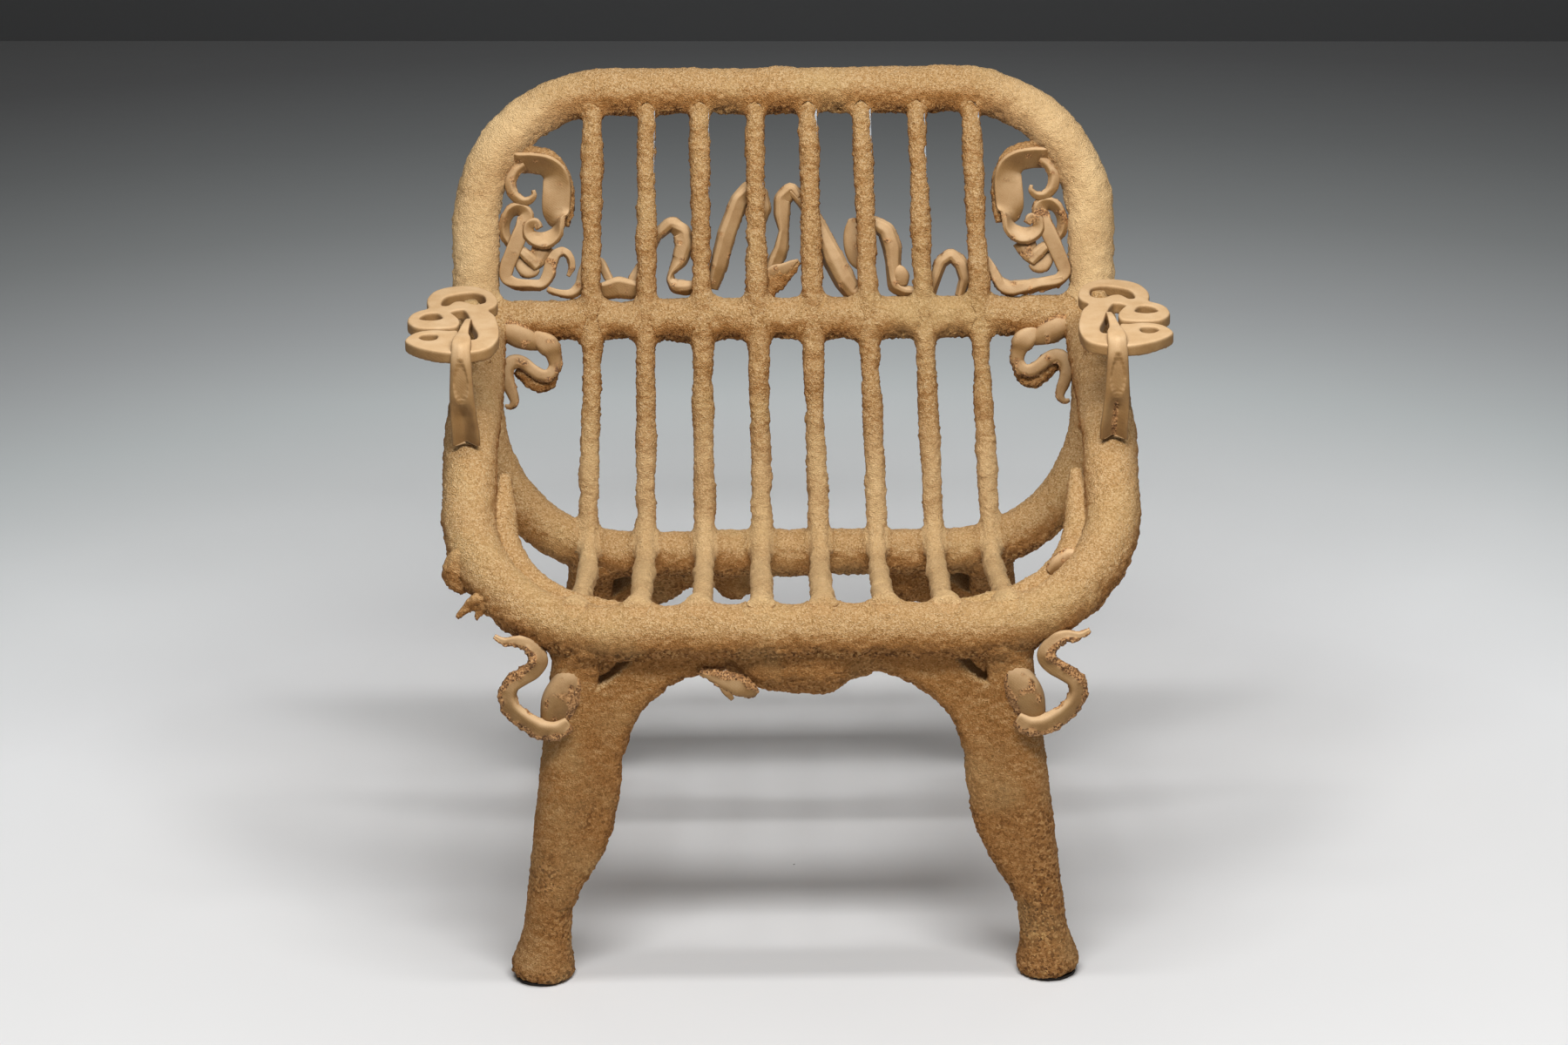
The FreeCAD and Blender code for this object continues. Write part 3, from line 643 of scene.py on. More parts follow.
def outline_gap(points: Array, outline: Array) -> Array:
    """Measure how far flat points lie outside a closed outline; inside is negative.

    The distance is the least to any edge, and a point is inside when a ray from it crosses the
    outline an odd number of times.
    """
    nearest = np.full(len(points), np.inf)
    inside = np.zeros(len(points), bool)
    for start, end in zip(outline, np.roll(outline, -1, 0)):
        run = end - start
        offset = points - start
        share = np.clip(offset @ run / (run @ run + 1e-12), 0, 1)
        nearest = np.minimum(nearest, np.sum((offset - share[:, None] * run) ** 2, axis=1))
        crosses = (start[1] > points[:, 1]) != (end[1] > points[:, 1])
        rise = np.where(abs(run[1]) < 1e-9, 1e-9, run[1])
        inside ^= crosses & (points[:, 0] < start[0] + (points[:, 1] - start[1]) * run[0] / rise)
    return np.where(inside, -1, 1) * np.sqrt(nearest)


@dataclass
class Stencil:
    """A flat shape's gap, measured once on a square grid and read back between its places.

    Attributes:
        outline: The shape's outline.
        holes: Outlines cut out of it.
        margin: How far outside the shape the grid reaches.
        step: The grid's spacing.
    """

    outline: Array
    holes: tuple = ()
    margin: float = 40.0
    step: float = 1.5

    def __post_init__(self) -> None:
        """Measure the grid."""
        self.low = self.outline.min(0) - self.margin
        counts = np.ceil((self.outline.max(0) + self.margin - self.low) / self.step).astype(int) + 1
        axes = [self.low[axis] + self.step * np.arange(counts[axis]) for axis in range(2)]
        grid = np.stack(np.meshgrid(*axes, indexing="ij"), axis=-1).reshape(-1, 2)
        values = outline_gap(grid, self.outline)
        for hole in self.holes:
            values = np.maximum(values, -outline_gap(grid, hole))
        self.values = values.reshape(counts)

    def gap(self, flat: Array) -> Array:
        """Read the gap at flat places, blended between the four nearest measured ones."""
        scaled = (flat - self.low) / self.step
        cell = np.clip(np.floor(scaled).astype(int), 0, np.array(self.values.shape) - 2)
        part = np.clip(scaled - cell, 0, 1)
        total = np.zeros(len(flat))
        for corner in np.ndindex(2, 2):
            weight = np.prod(np.where(np.array(corner) == 1, part, 1 - part), axis=1)
            total += weight * self.values[cell[:, 0] + corner[0], cell[:, 1] + corner[1]]
        return total


def slab_gap(across: Array, through: Array, half: float, edge: float) -> Array:
    """Give the gap outside a flat slab with rounded edges.

    Args:
        across: The gap outside its outline.
        through: The distance from its middle plane.
        half: Half its thickness.
        edge: The radius of its edges.
    """
    first = across + edge
    second = np.abs(through) - half + edge
    outer = np.sqrt(np.maximum(first, 0) ** 2 + np.maximum(second, 0) ** 2)
    return outer + np.minimum(np.maximum(first, second), 0) - edge


def chain_gap(points: Array, line: Array, radii: Array | float) -> Array:
    """Give the gap outside a chain of cones with round joints."""
    radii = np.broadcast_to(radii, len(line))
    nearest = np.full(len(points), np.inf)
    for start, end, first, last in zip(line[:-1], line[1:], radii[:-1], radii[1:]):
        run = end - start
        share = np.clip((points - start) @ run / (run @ run), 0, 1)
        away = np.linalg.norm(points - start - share[:, None] * run, axis=1)
        nearest = np.minimum(nearest, away - first - (last - first) * share)
    return nearest


def net_surface(gap: Gap, low: Array, high: Array, step: float) -> tuple[Array, Array]:
    """Wrap the places where a gap is zero in a net of four-sided faces.

    A cubic grid is laid over the box. Each cell that the surface passes through gets one point, at
    the middle of the places where the surface cuts its edges. Each grid edge that the surface cuts
    gets one face, from the four cells round it.

    Args:
        gap: The function from places to distances, negative inside.
        low: The box's low corner.
        high: The box's high corner.
        step: The grid's spacing.

    Returns:
        The points and the faces.
    """
    counts = np.ceil((high - low) / step).astype(int) + 1
    axes = [low[axis] + step * np.arange(counts[axis]) for axis in range(3)]
    grid = np.stack(np.meshgrid(*axes, indexing="ij"), axis=-1).reshape(-1, 3)
    values = gap(grid).reshape(counts)
    for axis in range(3):
        np.moveaxis(values, axis, 0)[[0, -1]] = step
    inside = values < 0
    cells = tuple(counts - 1)
    sums = np.zeros(cells + (3,))
    cuts = np.zeros(cells)
    for axis in range(3):
        for corner in np.ndindex(2, 2, 2):
            if corner[axis]:
                continue
            other = tuple(1 if index == axis else corner[index] for index in range(3))
            first = tuple(slice(c, c + n) for c, n in zip(corner, cells))
            second = tuple(slice(c, c + n) for c, n in zip(other, cells))
            cut = inside[first] != inside[second]
            share = values[first] / np.where(cut, values[first] - values[second], 1)
            place = np.zeros(cells + (3,)) + corner
            place[..., axis] = share
            sums += place * cut[..., None]
            cuts += cut
    used = cuts > 0
    where = np.argwhere(used)
    points = low + step * (where + sums[used] / cuts[used][:, None])
    index = np.full(cells, -1)
    index[used] = np.arange(len(where))
    faces = []
    for axis in range(3):
        second, third = (axis + 1) % 3, (axis + 2) % 3
        before = np.delete(inside, -1, axis)
        after = np.delete(inside, 0, axis)
        spots = np.argwhere(before != after)
        spots = spots[(spots[:, second] > 0) & (spots[:, third] > 0)]
        flipped = after[tuple(spots.T)]
        quad = []
        for shift in ((0, 0), (1, 0), (1, 1), (0, 1)):
            cell = spots.copy()
            cell[:, second] -= shift[0]
            cell[:, third] -= shift[1]
            quad.append(index[tuple(cell.T)])
        quad = np.stack(quad, axis=1)
        faces.append(np.where(flipped[:, None], quad[:, ::-1], quad))
    return points, np.concatenate(faces)


def net_normals(points: Array, faces: Array) -> Array:
    """Give each point's outward direction: the sum of its faces' cross products."""
    corners = points[faces]
    cross = np.cross(corners[:, 2] - corners[:, 0], corners[:, 3] - corners[:, 1])
    normals = np.zeros_like(points)
    for column in range(4):
        np.add.at(normals, faces[:, column], cross)
    return unit(normals)


@dataclass
class PasteWork:
    """All the paste: rails, slats, legs, brackets and the lumps on them, with fillets between.

    Attributes:
        frame: The chair's shared sizes.
        crumb: The paste's relief.
        fillet: The fillet where two members meet square to each other.
        stain_and_floor_shade: How much coarser the paste's colour looks towards the floor: a painted shade.
        step: The spacing of the rings along a member; slat_step is the slats' and posts' own.
        slat_wander: How far a slat strays sideways.
        slat_climb: How far its front end climbs onto the front rail.
        foot_radius: The foot's rim; foot_waist and leg_radius are the radii above it.
        front_foot_half: Half the distance between the front feet; rear_foot_half is alike.
        front_foot_back: How far behind the front rail the front feet stand; the next three are alike.
        bracket_half: Half the brackets' thickness; bracket_edge rounds their edges.
        bracket_skin: How far inside the leg and the rail the brackets start from.
        ledge_turn: How far below level the ledges sit on the arm hoop's inner side.
        ledge_bed: How deep they are bedded in it.
        arch: The brackets' inner outline, from the leg to the middle, in distance sideways and drop.
        lumps: How strong the slow lumps are, by the first word of a member's name.
        lobes: The middle of each rear bracket's round end, by side, in distance sideways and drop.
        keystone_shift: How far right of the middle the keystone hangs.
        keystone_half: Half its size each way.
        post_back: Where the arm posts start, behind the front rail.
        post_tops: Where each ends, by side.
    """

    frame: ChairFrame
    crumb: Crumb
    fillet: float = 16.0
    stain_and_floor_shade: float = 0.5
    step: float = 2.0
    slat_step: float = 1.8
    slat_wander: float = 1.6
    slat_climb: float = 9.0
    leg_radius: float = 25.0
    foot_radius: float = 33.0
    foot_waist: float = 28.0
    pad_height: float = 3.0
    leg_top_half: float = 226.0
    front_foot_half: float = 276.0
    rear_foot_half: float = 270.0
    front_foot_back: float = 4.0
    front_top_back: float = 8.0
    rear_foot_back: float = 546.0
    rear_top_back: float = 372.0
    bracket_half: float = 17.0
    bracket_edge: float = 14.0
    bracket_skin: float = 3.5
    ledge_radius: float = 15.0
    ledge_turn: float = math.radians(27)
    ledge_bed: float = 3.0
    ledge_fillet: float = 5.0
    arch: tuple = ((252, 330), (243, 314), (222, 283), (198, 240), (190, 205), (187, 179), (181, 140),
                   (170.5, 108), (149, 79), (124, 60), (100, 50), (82, 46), (60, 46))
    lumps: dict = field(default_factory=lambda: {
        "slat": 1.3, "mid": 2.1, "back": 1.2, "arm": 0.8, "left": 0.55, "right": 0.55})
    lobes: dict = field(default_factory=lambda: {-1: (64, 47), 1: (128, 47)})
    keystone_shift: float = 14.0
    keystone_half: tuple = (60, 23, 36)
    post_back: float = 326.0
    post_tops: dict = field(default_factory=lambda: {-1: (-350, 324, 667), 1: (344, 338, 667)})

    def __post_init__(self) -> None:
        """Start with no sweeps."""
        self.sweeps: dict[str, Sweep] = {}

    def add(self, *parts: object, **settings: object) -> None:
        """Keep a sweep made from these values, so that others can grow fillets to it."""
        sweep = Sweep(*parts, **settings)
        self.sweeps[sweep.name] = sweep

    def rails(self) -> None:
        """Lay out the two hoops and the middle rail."""
        frame = self.frame
        self.add("back_hoop", frame.back_line(self.step), frame.facing,
                 frame.back_radius, frame.back_radius, closed=True, around=80)
        self.add("arm_hoop", frame.arm_line(self.step), UP, frame.arm_radius, frame.arm_radius, around=88)
        self.add("mid_rail", frame.mid_line(self.step), frame.facing,
                 frame.mid_radius, frame.mid_radius, around=78)

    def slats(self) -> None:
        """Lay out the slats, each wandering a little as a hand-packed rod does.

        A slat climbs onto the front rail and swells there, and thins into the top rail.
        """
        for number in range(self.frame.slat_count):
            line = self.frame.slat_line(number, self.slat_step)
            along = np.arange(len(line)) * self.slat_step
            wander = np.stack([along, along * 0, along * 0 + 900 * number], axis=1)
            line = line + RIGHT * (self.slat_wander * soft_noise(wander, 140, 31))[:, None]
            line = line + UP * (self.slat_climb * smooth_share(110, 20, along))[:, None]
            radius = self.frame.slat_radius * (1 + 0.05 * soft_noise(wander, 60, 32))
            swell = 0.45 * smooth_share(60, 24, along)
            radius *= 1 + swell - 0.35 * smooth_share(34, 0, along[-1] - along)
            self.add(f"slat_{number + 1}", line, RIGHT, radius, radius, around=38)

    def leg_ends(self, side: int, front: bool) -> tuple[Array, Array]:
        """Give a leg's foot centre on the floor and its top centre under its rail."""
        frame = self.frame
        if front:
            return (frame.place(side * self.front_foot_half, self.front_foot_back, 0),
                    frame.place(side * self.leg_top_half, self.front_top_back, frame.seat_front_height))
        return (frame.place(side * self.rear_foot_half, self.rear_foot_back, 0),
                frame.place(side * self.leg_top_half, self.rear_top_back, frame.seat_rear_height))

    def legs(self) -> None:
        """Lay out the legs: a straight shaft over a foot that swells to a rounded rim."""
        rim, shaft = self.foot_radius, self.leg_radius
        profile = [(0, rim - 4), (2, rim - 1.2), (6, rim + 0.4), (14, rim), (24, rim - 2.5),
                   (36, self.foot_waist), (52, shaft + 0.6), (70, shaft), (400, shaft)]
        heights, radii = np.transpose(profile)
        for name, side in SIDES:
            for end, front in (("front", True), ("rear", False)):
                foot, top = self.leg_ends(side, front)
                start = foot + (top - foot) * (self.pad_height / top[2])
                line = even_line(np.stack([start, top]), self.step)
                radius = np.interp(line[:, 2] - self.pad_height, heights, radii)
                self.add(f"{name}_{end}_leg", line, BACK, radius, radius, around=80)

    def ledges(self) -> None:
        """Lay out the ridges that hug the arm hoop's inner corners beside the seat."""
        frame = self.frame
        climb = np.array([0, math.cos(frame.climb), math.sin(frame.climb)])
        across = np.cross(RIGHT, climb)
        reach = frame.arm_radius + self.ledge_radius - self.ledge_bed
        inset = reach * math.cos(self.ledge_turn)
        bend = frame.arm_corner_bend - inset
        corner = frame.place(inset - frame.arm_half_width, 0, frame.seat_front_height)
        corner = corner + climb * inset - across * reach * math.sin(self.ledge_turn)
        ends = [corner + climb * (bend + 50), corner, corner + RIGHT * (bend + 22)]
        line = rounded_line(ends, [bend], self.step)
        share = np.linspace(0, 1, len(line))
        radius = self.ledge_radius * np.interp(share, [0, 0.2, 0.85, 1], [0.5, 1, 1, 0.5])
        for name, side in SIDES:
            self.add(f"{name}_seat_ledge", line * [-side, 1, 1], UP, radius, radius, around=32)

    def posts(self) -> None:
        """Lay out the rough post behind each arm's scroll, whose top shows in the scroll's ring."""
        frame = self.frame
        for name, side in SIDES:
            low = frame.place(side * (frame.arm_half_width - 1), self.post_back,
                              frame.arm_height_at(self.post_back))
            top = frame.place(*self.post_tops[side])
            line = even_line(np.stack([low, top]), self.slat_step)
            radius = np.interp(np.linspace(0, 1, len(line)), [0, 0.7, 0.9, 1], [15, 12, 12, 7])
            self.add(f"{name}_arm_post", line, BACK, radius, radius, around=44)

    def rubbed(self, sweep: Sweep, surface: Array) -> Array:
        """Give how far paler colour paints light on the paste: the back hoop's sides, and the seat's slats.
        """
        height = surface[..., 2]
        if sweep.name == "back_hoop":
            return smooth_share(200, 330, np.abs(surface[..., 0])) * smooth_share(440, 600, height)
        if sweep.name.startswith("slat"):
            return 0.6 * smooth_share(520, 430, height)
        return 0 * height

    def crumbled(self, points: Array, normals: Array, lumps: float,
                 share: float = 1.0) -> tuple[Array, Array]:
        """Raise the crumb on a surface.

        Args:
            points: Its places.
            normals: Its outward directions.
            lumps: How strong the slow lumps are.
            share: A factor on how coarse it is.

        Returns:
            The raised places, and how coarse each looks with the painted shade near the floor.
        """
        coarse = self.crumb.coarseness(points, normals) * share
        # Only the colour reads this copy, with its painted shade near the floor.
        coarse_and_shaded = self.crumb.coarseness(points, normals, self.stain_and_floor_shade) * share
        return points + normals * self.crumb.height(points, coarse, lumps)[..., None], coarse_and_shaded

    def dress(self, sweep: Sweep) -> None:
        """Give a sweep its fillets and its crumb, and make it a piece."""
        surface = sweep.surface()
        normals = surface_normals(surface, sweep.closed)
        surface = surface + normals * self.blend(sweep, surface, normals)[..., None]
        normals = surface_normals(surface, sweep.closed)
        surface, coarse_and_shaded = self.crumbled(surface, normals, self.lumps[sweep.name.split("_")[0]])
        surface[..., 2] = np.maximum(surface[..., 2], self.pad_height)
        made = make_mesh(f"{sweep.name}_paste", surface, sweep.closed)
        finish_piece(made, Slot.PASTE, (sweep.name,), coarse=coarse_and_shaded, rubbed=self.rubbed(sweep, surface))

    def dress_net(self, node: str, gap: Gap, low: Array, high: Array, lumps: float = 1.0) -> None:
        """Wrap a gap function in a net, give it the crumb and make it a piece.

        Args:
            node: The CAD node that it stands for.
            gap: The function from places to distances.
            low: The low corner of the box that holds it.
            high: The high corner.
            lumps: How strong the slow lumps are.
        """
        points, faces = net_surface(gap, low, high, 2.2)
        points, coarse_and_shaded = self.crumbled(points, net_normals(points, faces), lumps, 0.8)
        made = link_mesh(f"{node}_paste", points, faces.tolist())
        finish_piece(made, Slot.PASTE, (node,), coarse=coarse_and_shaded)

    def rear_arch(self, side: int) -> list:
        """Give the rear arch's inner outline, which ends at that side's lobe."""
        x, drop = self.lobes[side]
        return list(self.arch[:-3]) + [(max(x + 26, 120), 52), (x + 4, drop - 12)]

    def bracket_gap(self, side: int, front: bool) -> Gap:
        """Give the gap function of one bracket: an arch's half, with fillets to its leg and rail.

        It's laid out flat, in distance sideways from the middle and drop below the rail. A small
        notch goes through its inner corner, where the leg meets the rail.

        Args:
            side: -1 for the left, 1 for the right.
            front: Whether it's under the front rail.
        """
        frame = self.frame
        foot, leg_top = self.leg_ends(side, front)
        top = leg_top * [0, 1, 1]
        down = unit(foot * [0, 1, 1] - top)
        through = np.cross(RIGHT, down)
        inner = flowing_line(np.array(self.arch if front else self.rear_arch(side)), 4)
        reach = self.arch[0][1] + 20
        lean = (self.front_foot_half if front else self.rear_foot_half) - self.leg_top_half
        outer = [[self.leg_top_half + lean * reach / leg_top[2], reach], [self.leg_top_half, 0]]
        outline = np.concatenate([inner[::-1], outer, [[inner[-1, 0], 0]]])
        rail_radius = frame.arm_radius if front else frame.back_radius
        rail = np.stack([top - RIGHT * 330, top + RIGHT * 330])
        rail = rail - BACK * (self.front_top_back if front else 0)
        under = rail_radius - 4
        notch = np.array([[168, under], [204, under], [206, under + 33], [196, under + 27],
                          [178, under + 9]])
        web_stencil, notch_stencil = Stencil(outline), Stencil(notch)
        skin = self.bracket_skin

        def gap(points: Array) -> Array:
            offset = points - top
            flat = np.stack([offset[:, 0] * side, offset @ down], axis=1)
            depth = offset @ through
            web = slab_gap(web_stencil.gap(flat), depth, self.bracket_half, self.bracket_edge)
            if not front:
                x, drop = self.lobes[side]
                from_lobe = np.stack([flat[:, 0] - x, flat[:, 1] - drop, depth], 1)
                web = joined_gap(web, np.linalg.norm(from_lobe, axis=1) - 24, 14)
            post = chain_gap(points, np.stack([foot, leg_top]), self.leg_radius - skin)
            whole = joined_gap(web, post, 24)
            whole = joined_gap(whole, chain_gap(points, rail, rail_radius - skin), 22)
            hole = slab_gap(notch_stencil.gap(flat), depth, 90, 4)
            whole = -joined_gap(-whole, hole, 6)
            # The fillets to the leg and the rail end 17 mm outside the web.
            return np.maximum(whole, web - 17)

        return gap

    def brackets(self) -> None:
        """Make the four brackets, each in a box from near the middle to outside its leg."""
        for name, side in SIDES:
            for end, front in (("front", True), ("rear", False)):
                foot, leg_top = self.leg_ends(side, front)
                inner = 70 if front else self.lobes[side][0] - 34
                span = sorted([side * inner, side * 300])
                near = foot[1] - 40 if front else leg_top[1] - 45
                far = leg_top[1] + 40 if front else foot[1] + 20
                self.dress_net(f"{name}_{end}_bracket", self.bracket_gap(side, front),
                               np.array([span[0], near, 85]), np.array([span[1], far, leg_top[2] - 4]))

    def keystone(self) -> None:
        """Make the rough lump under the front rail: two ovals with a fillet to the rail."""
        frame = self.frame
        centre = frame.place(self.keystone_shift, 10, frame.seat_front_height - 36)
        rail = np.stack([frame.place(end, 0, frame.seat_front_height) for end in (-330, 330)])
        size = np.array(self.keystone_half)

        def oval(points: Array, half: Array, radius: float) -> Array:
            return (np.linalg.norm((points - centre) / half, axis=1) - 1) * radius

        def gap(points: Array) -> Array:
            lump = joined_gap(oval(points, size, 27), oval(points, size * [1.7, 0.8, 0.62], 20), 16)
            lump = lump + 4 * soft_noise(points, 34, 61)
            whole = joined_gap(lump, chain_gap(points, rail, frame.arm_radius - 4), 20)
            return np.maximum(whole, lump - 16)

        self.dress_net("apron_keystone", gap, centre - [122, 44, 52], centre + [122, 44, 40], lumps=1.8)

    def blend(self, sweep: Sweep, surface: Array, normals: Array) -> Array:
        """Find the fillets that a sweep grows where others run into it.

        The highest rise counts, but a place that sinks at any seam stays sunk.

        Args:
            sweep: The piece that grows.
            surface: Its places.
            normals: Its outward directions.

        Returns:
            The heights to add.
        """
        flat, out = surface.reshape(-1, 3), normals.reshape(-1, 3)
        rise = np.zeros(len(flat))
        for other in self.sweeps.values():
            if other is sweep:
                continue
            size = self.ledge_fillet if "ledge" in sweep.name + other.name else self.fillet
            low, high = other.reach()
            near = np.flatnonzero(np.all((flat > low - self.fillet) & (flat < high + self.fillet), axis=1))
            for part in np.array_split(near, max(len(near) // 20000, 1)):
                if len(part):
                    gap, way = other.gap(flat[part])
                    grown = joined_rise(gap, np.sum(way * out[part], axis=1), size)
                    highest = np.where(rise[part] < 0, rise[part], np.maximum(rise[part], grown))
                    rise[part] = np.where(grown < 0, np.minimum(rise[part], grown), highest)
        return rise.reshape(surface.shape[:-1])

    def build(self) -> None:
        """Lay everything out, and then dress each piece."""
        self.rails()
        self.slats()
        self.legs()
        self.ledges()
        self.posts()
        for sweep in self.sweeps.values():
            self.dress(sweep)
        self.brackets()
        self.keystone()


def finish_piece(made: bpy.types.Object, slot: Slot, replaces: tuple, **values: Array) -> None:
    """Seat a piece on the chair's one body, give it its slot's material, and report it.

    Args:
        made: The piece.
        slot: The record's material slot.
        replaces: The CAD nodes that it stands for.
        values: Numbers for its points, which its material reads by their names.
    """
    for name, numbers in values.items():
        store_values(made, name, numbers)
    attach(made, "root")
    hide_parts(*replaces)
    made.data.materials.append(MATERIALS[slot])
    log.info("%s: %d faces, %.1f cm3, for %s", made.name, len(made.data.polygons),
             mesh_volume(made.data) * 1e6, ", ".join(replaces))


def mesh_volume(mesh: bpy.types.Mesh) -> float:
    """Give a closed mesh's volume, positive when its faces look outward: the sum of its cones."""
    mesh.calc_loop_triangles()
    points = np.empty(len(mesh.vertices) * 3)
    mesh.vertices.foreach_get("co", points)
    corners = np.empty(len(mesh.loop_triangles) * 3, int)
    mesh.loop_triangles.foreach_get("vertices", corners)
    a, b, c = np.moveaxis(points.reshape(-1, 3)[corners.reshape(-1, 3)], 1, 0)
    return float(np.sum(a * np.cross(b, c)) / 6)


# Corners of a section with flat facets, in halves of its width and thickness.
CARVED = ((1.0, -1.0), (1.0, -0.3), (0.2, 1.0), (-0.35, 1.0), (-1.0, 0.15), (-1.0, -1.0))


class Plane(Enum):
    """Where an ornament's table is laid out: on the sloping back, or upright beside the front legs."""

    BACK = "back"
    FRONT = "front"


@dataclass(frozen=True)
class Ribbon:
    """One ribbon of printed compound, drawn through a table of knots.

    Attributes:
        name: The piece's name, after its side's name where there is a pair.
        knots: Rows of x, rise, forward, half width, half thickness and turn in degrees. A ribbon
            with no turn lies flat to the viewer; a turn brings its right-hand edge forward.
        nodes: The CAD nodes that it stands for, without the side's name.
        folded: Whether the strip runs straight between knots, as carved facets do.
        crust: How far paste covers its back, from 0 to 1.
        power: How square its section is.
        plane: Where it's laid out.
        rough: Whether it's paste and not printed compound.
        carved: Whether its section has flat facets.
        swell: A factor on its half width and half thickness.
        lee: The way that faces more of the crust, on the left side's ribbon.
        edge: How much of its width paste covers from travel's left-hand edge, from 0 to 1.
    """

    name: str
    knots: tuple
    nodes: tuple
    folded: bool = False
    crust: float = 0.6
    power: float = 5.0
    plane: Plane = Plane.BACK
    rough: bool = False
    carved: bool = False
    swell: float = 1.0
    lee: tuple = (0.0, 0.0, 0.0)
    edge: float = 0.0

    def sweep(self, frame: ChairFrame, name: str, step: float = 1.5) -> Sweep:
        """Lay the ribbon in the chair, with a ring at each step."""
        rows = folded_line(self.knots, step) if self.folded else flowing_line(self.knots, step)
        if self.plane is Plane.BACK:
            line = np.array([frame.on_back(*row[:3]) for row in rows])
            facing = frame.facing
        else:
            line = np.array([frame.place(row[0], -row[2], row[1]) for row in rows])
            facing = -BACK
        half_side = np.maximum(rows[:, 3] * self.swell, 0.8)
        half_lift = np.maximum(rows[:, 4] * self.swell, 0.6)
        section = CARVED if self.carved else ()
        return Sweep(name, line, facing, half_side, half_lift, self.power,
                     around=44, turn=np.radians(rows[:, 5]), section=section)


C_SCROLL = Ribbon("c_scroll", (
    (-311, 452, 4, 13, 3.2, -50), (-300, 447, 5, 14, 3.2, -50), (-284, 446, 6, 14.5, 3, -50),
    (-269, 443, 6, 15, 3, -48), (-259, 434, 5, 15.4, 3, -34), (-256.5, 420, 4, 15.4, 3, -16),
    (-257.5, 404, 3, 15.4, 3, -8), (-258, 392, 2, 15, 3, -12), (-257, 383, 2, 14, 3, -38),
    (-255.5, 375, 4, 11.5, 3.2, -66), (-260, 365, 6, 11, 3.2, -50), (-270, 358.5, 8, 10.4, 3, -36),
    (-281, 359.5, 9, 9, 3, -34), (-289, 366, 10, 7, 3, -30), (-288.5, 375, 11, 5.5, 3, -24),
    (-281, 378, 12, 4.5, 3, -18), (-277, 371.5, 12.5, 3.5, 2.6, -10)),
    ("c_scroll",), swell=1.06)
C_CRUST = Ribbon("c_crust", (
    (-312, 462, 0, 14, 12, 0), (-297, 460, 1, 12, 10, 0), (-284, 457, 2, 9, 8, 0),
    (-268, 455, 2, 7, 6.5, 0), (-253, 445, 0, 5.5, 6, 0), (-244, 422, -3, 5, 6, 0),
    (-242.5, 402, -4, 5, 6, 0),
    (-243.5, 386, -3, 5, 6, 0), (-246, 374, -1, 3, 4, 0)),
    ("c_scroll",), power=2.2, rough=True)
HOOK = Ribbon("hook", (
    (-293, 444, 6, 4, 5, -30), (-303, 437, 7, 5.5, 5, -34), (-309, 424, 8, 6.2, 5, -36),
    (-306, 411, 9, 6, 4.6, -36), (-297, 403, 10, 5.2, 4, -34), (-288, 403, 11, 4.4, 3.4, -30),
    (-282, 409, 12, 3, 2.8, -20), (-282.5, 415, 12.5, 1.6, 1.8, 0)), ("hook",), power=3)
S_RIBBON = Ribbon("s_ribbon", (
    (-308, 352, -4, 5, 3, -40), (-316, 364, -2, 5.5, 3, -50), (-317, 378, 0, 6, 3, -56),
    (-311, 390, 2, 7, 3, -56), (-301, 394, 4, 8, 3, -46), (-293, 388, 6, 8, 3, -24),
    (-295, 374, 8, 7.8, 3, 0), (-302, 359, 9, 7.6, 3, 6), (-309, 343, 9, 7.4, 3.2, 6),
    (-315, 328, 8, 7, 3.4, 2), (-316, 316, 7, 6.2, 4, 0), (-305, 309, 7, 5, 5, 20),
    (-290, 307.5, 7, 4.6, 5, 28), (-276, 308.5, 7, 5, 4.6, 16), (-269, 318, 7, 6, 4, 4),
    (-265, 331, 7, 6, 3.6, 0), (-259, 342, 7, 5, 3.4, 10), (-250, 345, 7, 4, 3.2, 24),
    (-243, 338, 7, 3.4, 3, 30), (-241.5, 327, 7, 2.8, 2.8, 20), (-246, 317, 7, 1.6, 2, 0)),
    ("s_ribbon",), power=5, swell=1.15)
RIGHT_S_RIBBON = Ribbon("s_ribbon", S_RIBBON.knots[:10] + (
    (-318, 316, 7, 6.4, 4, 0), (-309, 306, 7, 5.4, 5, 20), (-290, 302, 7, 5, 5, 28),
    (-270, 298, 7, 5, 4.6, 16), (-256, 296, 6, 4.8, 4.2, 10), (-247, 300, 5, 4.6, 4, 4),
    (-241, 311, 4, 4.4, 4, 0), (-235, 324, 2, 4, 3.6, 0), (-230, 333, 0, 3, 3, 0)),
    ("s_ribbon",), power=5, swell=1.15, crust=0.9)
SWOOSH = Ribbon("swoosh", (
    (-270, 303, 4, 3, 3.4, 10), (-255, 298, 4, 4, 3.6, 20), (-242, 298, 4, 5.4, 4, 30),
    (-232, 307, 3, 7, 4.4, 38), (-228, 321, 0, 7.4, 4, 34), (-222, 335, -6, 6, 3.6, 10),
    (-211, 334, -10, 5, 3.4, -10), (-203, 320, -8, 5, 3.4, -20), (-197, 309, -4, 4, 3, -20)),
    ("s_ribbon",), power=3.4)
LEAF_ARM = Ribbon("leaf_arm", (
    (-272, 353, 2, 10, 3, 20), (-277, 342, 4, 8.5, 3, 10), (-281, 333, 6, 6, 3, 0),
    (-284, 326, 7, 2.6, 2.4, 0)), ("leaf",), folded=True, carved=True, swell=1.3)
LEAF_GROOVE = Ribbon("leaf_groove", (
    (-307, 351, 4, 3.6, 4, -20), (-298, 344, 5, 5, 4, -34), (-289, 335, 6, 6, 4, -38),
    (-281, 326, 7, 4.4, 3.4, -20)), ("leaf",), carved=True, swell=1.3)
LEAF_LOBE = Ribbon("leaf_lobe", (
    (-304, 338, 0, 4, 3, 0), (-299, 329, 2, 7, 4, 10), (-292, 323, 3, 8, 4.4, 16),
    (-284, 322, 4, 5, 3.4, 10), (-279, 325, 5, 2, 2, 0)), ("leaf",), power=2.6)
